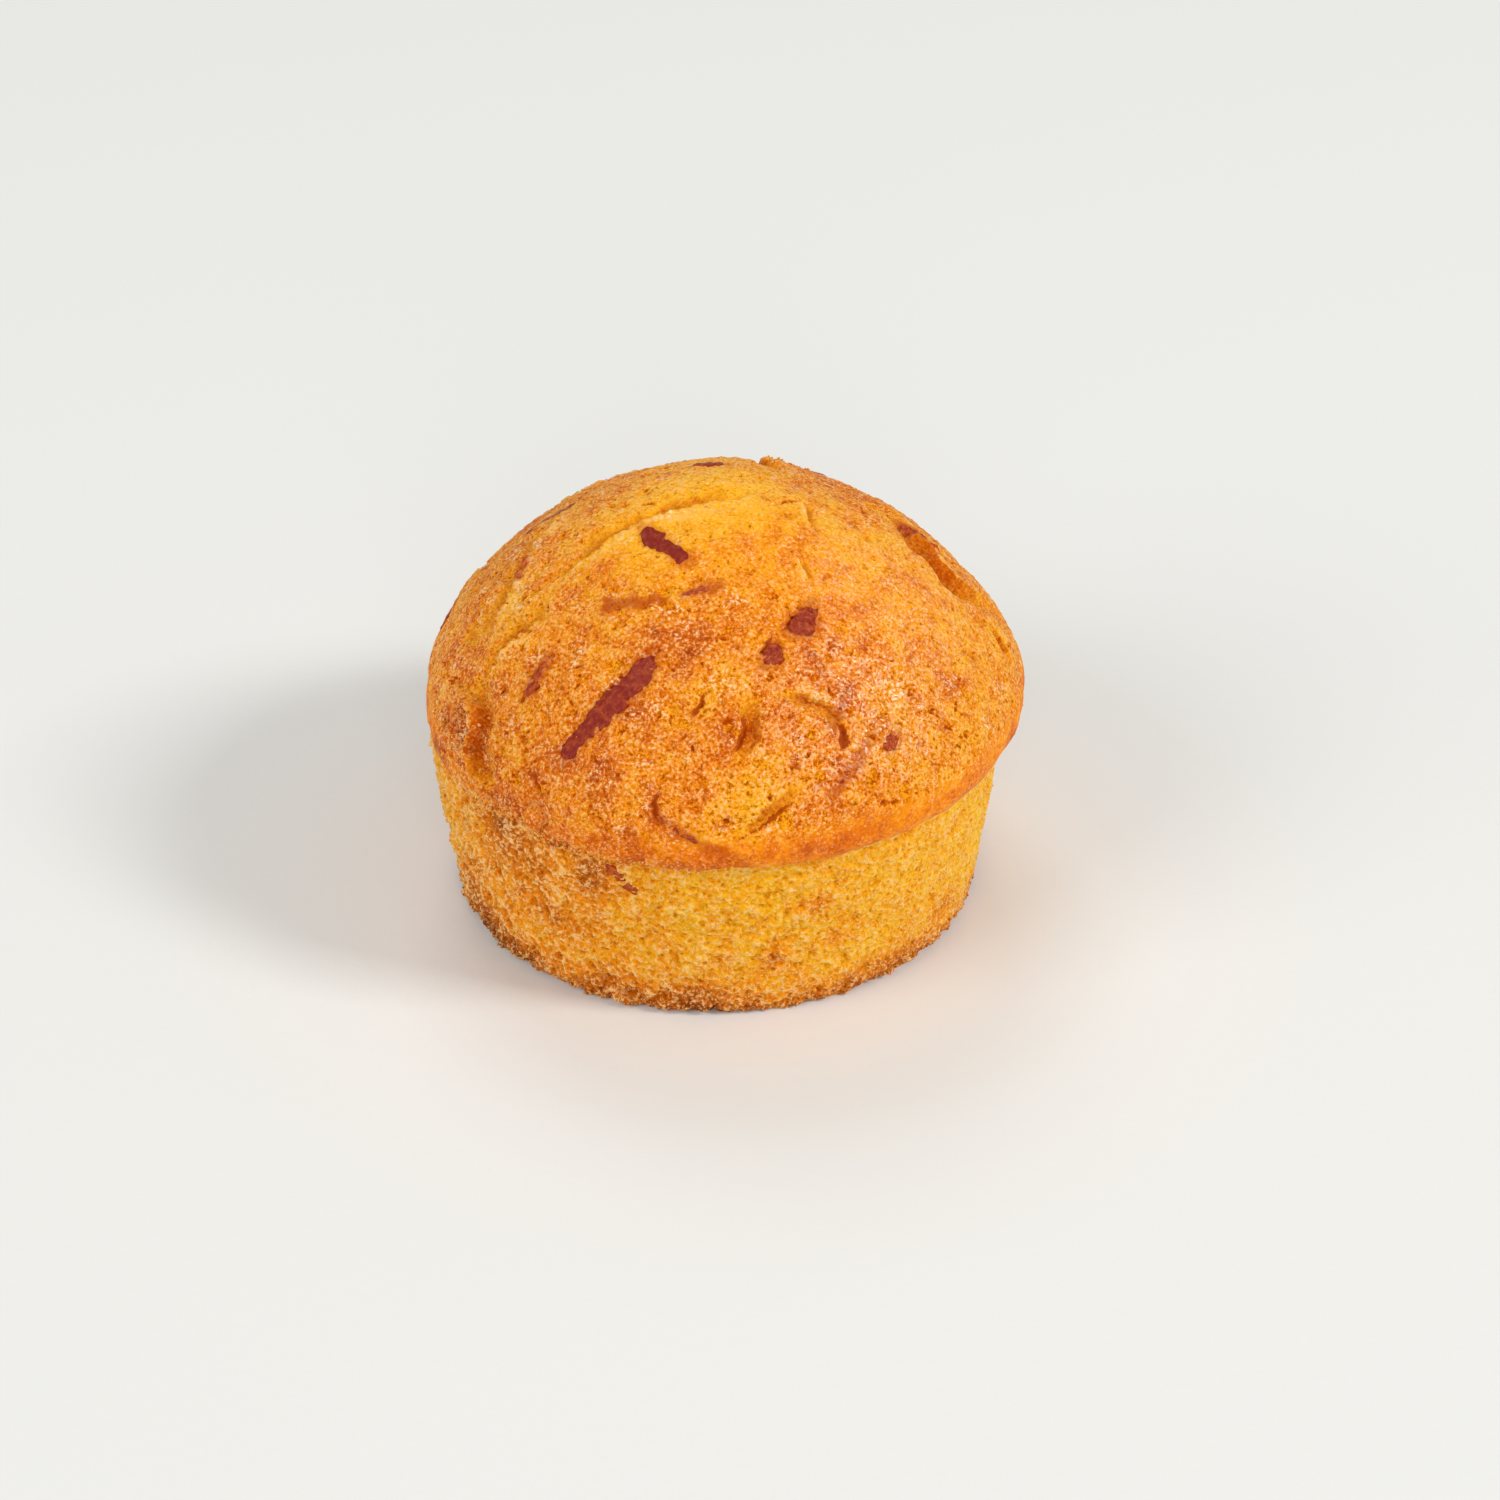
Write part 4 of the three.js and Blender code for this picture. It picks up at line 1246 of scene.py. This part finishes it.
def browned_skin(add, share, height):
    """Gold to brown, darker in hollows and paler on dry flakes that stand up: partly painted shade and light.
    """
    skin = add("ValToRGB", {"Fac": share}, stops=(
        (0.0, "#fdb018"), (1.0, "#924010"),
        (0.28, "#f69f12"), (0.45, "#ee8a0c"), (0.62, "#e07210"), (0.8, "#c45914"),
    ))["Color"]
    # painted light and shade, in part: paler on what stands up, dark brown in the hollows
    pale = lay_over(add, skin, "#fdc77e", height, 0.04, 0.6, 0.85)
    return lay_over(add, pale, "#ac3a00", height, -0.1, -0.65, 0.9)


def flecks_and_pit_shade(add, spot, skin, height):
    """Dry white crumbs lie in clusters on what stands up, and a few dark dots are painted shade of tiny pits.
    """
    cluster = add("TexNoise", {"Vector": spot, "Scale": per_metre(CLUSTER), "Detail": 2.0})["Fac"]
    cluster = add("MapRange", {
        "Value": cluster, "From Min": 0.56, "From Max": 0.68, "To Max": 0.62})["Result"]
    crusty = add("MapRange", {"Value": height, "From Min": 0.15, "From Max": 0.4})["Result"]
    paleness = add("Math", {0: cluster, 1: crusty}, operation="MULTIPLY")[0]
    flecked = add("Mix", {0: paleness, 6: skin, 7: "#ffe4bc"}, data_type="RGBA")[2]
    # painted shade: a few dark dots stand for the shade in tiny pits
    pit_shade_distance = add("TexVoronoi", {"Vector": spot, "Scale": per_metre(PIT_SHADE_SPACING)})["Distance"]
    return lay_over(add, flecked, "#8a2e02", pit_shade_distance, 0.085, 0.04, 0.7)


# %% Torn places and cracks, with painted shade in them
HAIR_CRACK = 5.0
HAIR_WIDTH = 0.014


def hair_crack_shade(add, spot, mottle, keen):
    """Dark lines of painted shade in thin cracks that wander between the blisters, and come and go."""
    wandering = add("TexNoise", {
        "Vector": spot, "Scale": per_metre(HAIR_CRACK), "Detail": 4.0, "Roughness": 0.6})["Fac"]
    on_line = add("Math", {0: wandering, 1: 0.5, 2: HAIR_WIDTH}, operation="COMPARE")[0]
    here = add("MapRange", {"Value": mottle, "From Min": 0.5, "From Max": 0.62, "To Max": 0.6})["Result"]
    hair_shade = add("Math", {0: here, 1: on_line}, operation="MULTIPLY")[0]
    return add("Math", {0: hair_shade, 1: keen}, operation="MULTIPLY")[0]


def torn_open(add, skin, grit, gritty, bare, crack, hair_shade):
    """The skin with its torn places of amber crumb and its cracks, dark with painted shade, then how open it
    is.

    Grit added to a smooth share, and then a narrow step, give both a crisp and ragged edge.
    """
    ragged = add("Math", {0: grit, 1: 1.3, 2: -0.65}, operation="MULTIPLY_ADD")[0]
    bared = add("Math", {0: bare, 1: ragged}, operation="ADD")[0]
    bared = add("MapRange", {"Value": bared, "From Min": 0.28, "From Max": 0.45, "To Max": 0.85})["Result"]
    # the torn places are amber crumb, a darker amber where they lie deeper, which is painted shade
    inner = add("Math", {0: gritty, 1: -0.35, 2: bare}, operation="MULTIPLY_ADD")[0]
    inside = add("ValToRGB", {"Fac": inner}, stops=((0.3, "#fcae20"), (1.0, "#c05000")))["Color"]
    amber = add("Mix", {0: bared, 6: skin, 7: inside}, data_type="RGBA")[2]
    # painted shade: the cracks, the fine lines and the bead grooves are laid over in dark amber
    crack_and_shade = add("Math", {0: crack, 1: ragged}, operation="ADD")[0]
    crack_and_shade = add("MapRange", {"Value": crack_and_shade, "From Min": 0.3, "From Max": 0.45, "To Max": 0.9})["Result"]
    crack_and_shade = add("Math", {0: crack_and_shade, 1: hair_shade}, operation="MAXIMUM")[0]
    split = add("Mix", {0: crack_and_shade, 6: amber, 7: "#b04000"}, data_type="RGBA")[2]
    return split, add("Math", {0: bared, 1: crack_and_shade}, operation="MAXIMUM")[0]


# %% The glaze, and the painted sheen on it
PAINTED_SHEEN = 0.13


def glossy_grains(add, grain, height):
    """How much glaze a grain carries: only those that stand up, and some more than others."""
    glossy = add("MapRange", {
        "Value": grain, "From Min": 0.25, "From Max": 0.8, "To Min": 0.1, "To Max": 1.0})["Result"]
    raised = add("MapRange", {"Value": height, "From Min": -0.15, "From Max": 0.15})["Result"]
    return add("Math", {0: glossy, 1: raised}, operation="MULTIPLY")[0]


def painted_sheen(add, skin, glossy, glaze):
    """Painted sheen: pale specks on the glossy grains where the glaze is thickest, on the right."""
    sheen_share = add("MapRange", {
        "Value": glaze, "From Min": 0.35, "From Max": 0.6, "To Max": PAINTED_SHEEN})["Result"]
    sheen_share = add("Math", {0: sheen_share, 1: glossy}, operation="MULTIPLY")[0]
    return add("Mix", {0: sheen_share, 6: skin, 7: "#fff0e0"}, data_type="RGBA")[2]


# %% Baked crust
MEAL_GRAIN = 0.36
MOTTLE = 3.0
FLAKE = 0.8
CRUST_GLOW = 0.5 * MM


def baked_crust(name, glow, *pieces):
    """The whole crust. glow is the share of light that goes under its surface."""
    crust_finish = new_material(name, *pieces)
    add = partial(add_node, crust_finish)
    spot = add("TexCoord", {})["Object"]
    browning_and_light, depth, bare, crack, calm, stain, glaze = (
        add("Attribute", {}, attribute_name=attribute)["Fac"] for attribute in ATTRIBUTES)
    grain = meal_grains(add, spot, MEAL_GRAIN)
    mottle = add("TexNoise", {
        "Vector": spot, "Scale": per_metre(MOTTLE), "Detail": 3.0, "Roughness": 0.6})["Fac"]

    grit, gritty = curly_relief(add, spot, FLAKE, 0.55, 0.2, 1.7)
    keen = add("Math", {0: calm, 1: -0.75, 2: 1.0}, operation="MULTIPLY_ADD")[0]
    fine_height = add("Math", {0: gritty, 1: keen}, operation="MULTIPLY")[0]
    height = add("Math", {0: fine_height, 1: depth}, operation="ADD")[0]

    skin = browned_skin(add, browning(add, browning_and_light, mottle, 0.35, grain["Red"], -0.9, 1.1), height)
    skin = flecks_and_pit_shade(add, spot, skin, height)
    glossy = glossy_grains(add, grain["Green"], height)
    # painted sheen: pale specks in the colour of the glossy grains where the glaze is thickest
    skin = painted_sheen(add, skin, glossy, glaze)
    skin, opened = torn_open(add, skin, grit, gritty, bare, crack, hair_crack_shade(add, spot, mottle, keen))
    stained = add("Mix", {0: stain, 6: skin, 7: "#ba4806"}, data_type="RGBA")[2]

    glazed = add("Math", {0: glossy, 1: glaze}, operation="MULTIPLY")[0]
    glazed = add("Math", {0: glazed, 1: opened}, operation="SUBTRACT")[0]
    body_bump = add("Bump", {"Height": fine_height, "Strength": 0.9, "Distance": 0.12 * MM})["Normal"]
    glaze_bump = add("Bump", {"Height": grit, "Strength": 1.0, "Distance": 0.06 * MM})["Normal"]
    shader = add("BsdfPrincipled", {
        "Base Color": stained, "Roughness": 0.55, "IOR": 1.45, "Specular IOR Level": 0.0, "Normal": body_bump,
        "Subsurface Weight": glow, "Subsurface Radius": (1.0, 0.38, 0.1), "Subsurface Scale": CRUST_GLOW,
        "Coat Weight": glazed, "Coat Roughness": 0.2, "Coat IOR": 1.5, "Coat Normal": glaze_bump,
        "Sheen Weight": 0.1, "Sheen Roughness": 0.4,
    })["BSDF"]
    add("OutputMaterial", {"Surface": shader})


baked_crust("baked_crust", 0.5, crust)
baked_crust("baked_crust_crumbs", 0.0, crust_grains)
print("crust: meal %.2f mm, grit %.2f mm, flakes %.1f mm, mottle %.1f mm" % (MEAL_GRAIN, GRIT, FLAKE, MOTTLE))

# %% [markdown]
# ### Open crumb
#
# The inside of the bread: matte, moist and very translucent. The curls of its net dry out at the top and look
# pale, partly painted light, its hollows are a deeper, darker amber, partly painted shade, and towards the
# foot it went brown against the mould. It has no glaze, so it needs only the shared patterns, with wider
# curls and more light under the surface.

# %% Open crumb
CRUMB_GRAIN = 0.4
CURL = 0.9
CRUMB_MOTTLE = 3.0
CRUMB_GLOW = 0.9 * MM


def open_crumb(name, glow, *pieces):
    """The whole crumb. glow is the share of light that goes under its surface."""
    crumb_finish = new_material(name, *pieces)
    add = partial(add_node, crumb_finish)
    spot = add("TexCoord", {})["Object"]
    browning_and_light, depth = (
        add("Attribute", {}, attribute_name=attribute)["Fac"] for attribute in ("toast_and_light", "depth"))
    grain = meal_grains(add, spot, CRUMB_GRAIN)
    mottle = add("TexNoise", {"Vector": spot, "Scale": per_metre(CRUMB_MOTTLE), "Detail": 3.0})["Fac"]
    share = browning(add, browning_and_light, mottle, 0.15, grain["Red"], -0.4, 1.4)
    body = add("ValToRGB", {"Fac": share}, stops=(
        (0.0, "#ffbe20"), (1.0, "#8e3e04"), (0.25, "#fbac1c"), (0.45, "#f09218"), (0.7, "#c8680e")))["Color"]
    hollow = add("ValToRGB", {"Fac": share}, stops=(
        (0.0, "#e07c00"), (1.0, "#6a2800"), (0.5, "#b85600")))["Color"]

    _grit, fine_height = curly_relief(add, spot, CURL, 0.5, 0.32, 0.9)
    height = add("Math", {0: fine_height, 1: depth}, operation="ADD")[0]
    # paler on the curls that stand up and darker in the hollows: partly dry crumb, partly painted light and
    # shade
    colour = lay_over(add, body, "#fed08a", height, 0.08, 0.6, 0.8)
    colour = lay_over(add, colour, hollow, height, -0.12, -0.75, 0.8)
    bump = add("Bump", {"Height": fine_height, "Strength": 0.9, "Distance": 0.2 * MM})["Normal"]
    shader = add("BsdfPrincipled", {
        "Base Color": colour, "Roughness": 0.6, "IOR": 1.4, "Specular IOR Level": 0.0, "Normal": bump,
        "Subsurface Weight": glow, "Subsurface Radius": (1.0, 0.45, 0.1), "Subsurface Scale": CRUMB_GLOW,
        "Sheen Weight": 0.06, "Sheen Roughness": 0.4,
    })["BSDF"]
    add("OutputMaterial", {"Surface": shader})


open_crumb("open_crumb", 0.6, crumb)
open_crumb("open_crumb_crumbs", 0.0, wall_crumbs)
print("crumb: meal %.2f mm, curls %.1f mm, mottle %.1f mm" % (CRUMB_GRAIN, CURL, CRUMB_MOTTLE))

# %% [markdown]
# ### Red shreds
#
# Moist strips that dried at the surface: dark red and glossy where they lie bare, and dull brownish red where
# a film of batter baked over them. How far each is baked over is an attribute, and wrinkles vary it.

# %% Moist red shreds
SHRED_WRINKLE = 0.65


def moist_shred(piece):
    shred_finish = new_material("moist_red_shred", piece)
    add = partial(add_node, shred_finish)
    spot = add("TexCoord", {})["Object"]
    faded = add("Attribute", {}, attribute_name="faded")["Fac"]
    wrinkle = add("TexNoise", {
        "Vector": spot, "Scale": per_metre(SHRED_WRINKLE), "Detail": 3.0, "Roughness": 0.6})["Fac"]
    uneven = add("MapRange", {
        "Value": wrinkle, "From Min": 0.35, "From Max": 0.65, "To Min": -0.3, "To Max": 0.43})["Result"]
    tone = add("Math", {0: faded, 1: uneven}, operation="ADD")[0]
    colour = add("ValToRGB", {"Fac": tone}, stops=(
        (0.0, "#861400"), (1.0, "#cc5c10"), (0.3, "#942600"), (0.6, "#ac4006")))["Color"]
    bump = add("Bump", {"Height": wrinkle, "Strength": 1.0, "Distance": 0.6 * MM})["Normal"]
    shader = add("BsdfPrincipled", {
        "Base Color": colour, "Roughness": 0.45, "IOR": 1.4, "Specular IOR Level": 0.0, "Normal": bump,
        "Coat Weight": 0.6, "Coat Roughness": 0.15, "Coat Normal": bump,
    })["BSDF"]
    add("OutputMaterial", {"Surface": shader})


moist_shred(red_shreds)
print("shreds: wrinkles %.2f mm" % SHRED_WRINKLE)

# %% [markdown]
# ## Stage, light and camera
#
# A plain pale floor, large soft lamps on all sides and a white surround, as in a small studio. The lamp on
# the right is the smallest and strongest: it draws the shadow to the left and the sparkles on the glaze. The
# camera looks down on the muffin from the front.

# %% Floor
FLOOR_RADIUS = 1.6
FLOOR_SEGMENTS = 96
FLOOR_COLOUR = "#e6e6e2"
PAPER_TOOTH = 1.5


def make_floor():
    bm = bmesh.new()
    bmesh.ops.create_circle(bm, cap_ends=True, radius=FLOOR_RADIUS, segments=FLOOR_SEGMENTS)
    mesh = bpy.data.meshes.new("floor")
    bm.to_mesh(mesh)
    bm.free()
    floor = bpy.data.objects.new("floor", mesh)
    bpy.context.scene.collection.objects.link(floor)
    add = partial(add_node, new_material("pale_paper", floor))
    spot = add("TexCoord", {})["Object"]
    tooth = add("TexNoise", {"Vector": spot, "Scale": per_metre(PAPER_TOOTH), "Detail": 2.0})["Fac"]
    bump = add("Bump", {"Height": tooth, "Strength": 0.03, "Distance": MM})["Normal"]
    shader = add("BsdfPrincipled", {
        "Base Color": FLOOR_COLOUR, "Roughness": 0.8, "Specular IOR Level": 0.2, "Normal": bump})["BSDF"]
    add("OutputMaterial", {"Surface": shader})


make_floor()

# %% Lamps
LAMPS = {
    # name: (direction from the muffin, distance in m, side in m, watts)
    "window": ((0.76, -0.25, 0.60), 2.5, 0.6, 31.5),
    "left": ((-0.72, -0.45, 0.53), 2.5, 1.4, 23.0),
    "front": ((0.05, -0.92, 0.40), 2.5, 1.2, 16.0),
    "back": ((-0.15, 0.60, 0.78), 2.5, 1.2, 14.0),
}


def make_lamps():
    target = Vector((0, 0, LIP_HEIGHT * MM))
    for name, (direction, distance, side, watts) in LAMPS.items():
        light = bpy.data.lights.new(name, "AREA")
        light.size = side
        light.energy = watts
        lamp = bpy.data.objects.new(name, light)
        away = Vector(direction).normalized()
        lamp.location = target + away * distance
        lamp.rotation_euler = away.to_track_quat("Z", "Y").to_euler()
        bpy.context.scene.collection.objects.link(lamp)


make_lamps()
whole_power = sum(watts for _direction, _distance, _side, watts in LAMPS.values())
print(len(LAMPS), "lamps with %.1f W together" % whole_power)

# %% Surround
SURROUND_STRENGTH = 0.35

surround = bpy.data.worlds.new("surround")
surround.use_nodes = True
surround.node_tree.nodes["Background"].inputs["Color"].default_value = (1, 1, 1, 1)
surround.node_tree.nodes["Background"].inputs["Strength"].default_value = SURROUND_STRENGTH
bpy.context.scene.world = surround
bpy.context.scene.view_settings.view_transform = "Standard"

# %% Camera
CAMERA_LENS = 75.0
CAMERA_DISTANCE = 423.6
CAMERA_ELEVATION = 32.0
LOOK_AT = Vector((0.6, 0.0, 28.0))
AIM_RIGHT = 3.93
AIM_DOWN = 8.27
CLIP_START = 10 * MM


def make_camera():
    """The aim lies a little to the right of the muffin and below it."""
    tilt = math.radians(CAMERA_ELEVATION)
    back = Vector((0, -math.cos(tilt), math.sin(tilt)))
    down = Vector((0, -math.sin(tilt), -math.cos(tilt)))
    camera = bpy.data.objects.new("camera", bpy.data.cameras.new("camera"))
    camera.data.lens = CAMERA_LENS
    camera.data.clip_start = CLIP_START
    place = LOOK_AT + back * CAMERA_DISTANCE
    aim = LOOK_AT + Vector((AIM_RIGHT, 0, 0)) + down * AIM_DOWN
    camera.location = place * MM
    camera.rotation_euler = (place - aim).to_track_quat("Z", "Y").to_euler()
    bpy.context.scene.collection.objects.link(camera)
    bpy.context.scene.camera = camera


make_camera()
print("camera: %.0f mm away, %.0f degrees above the floor" % (CAMERA_DISTANCE, CAMERA_ELEVATION))
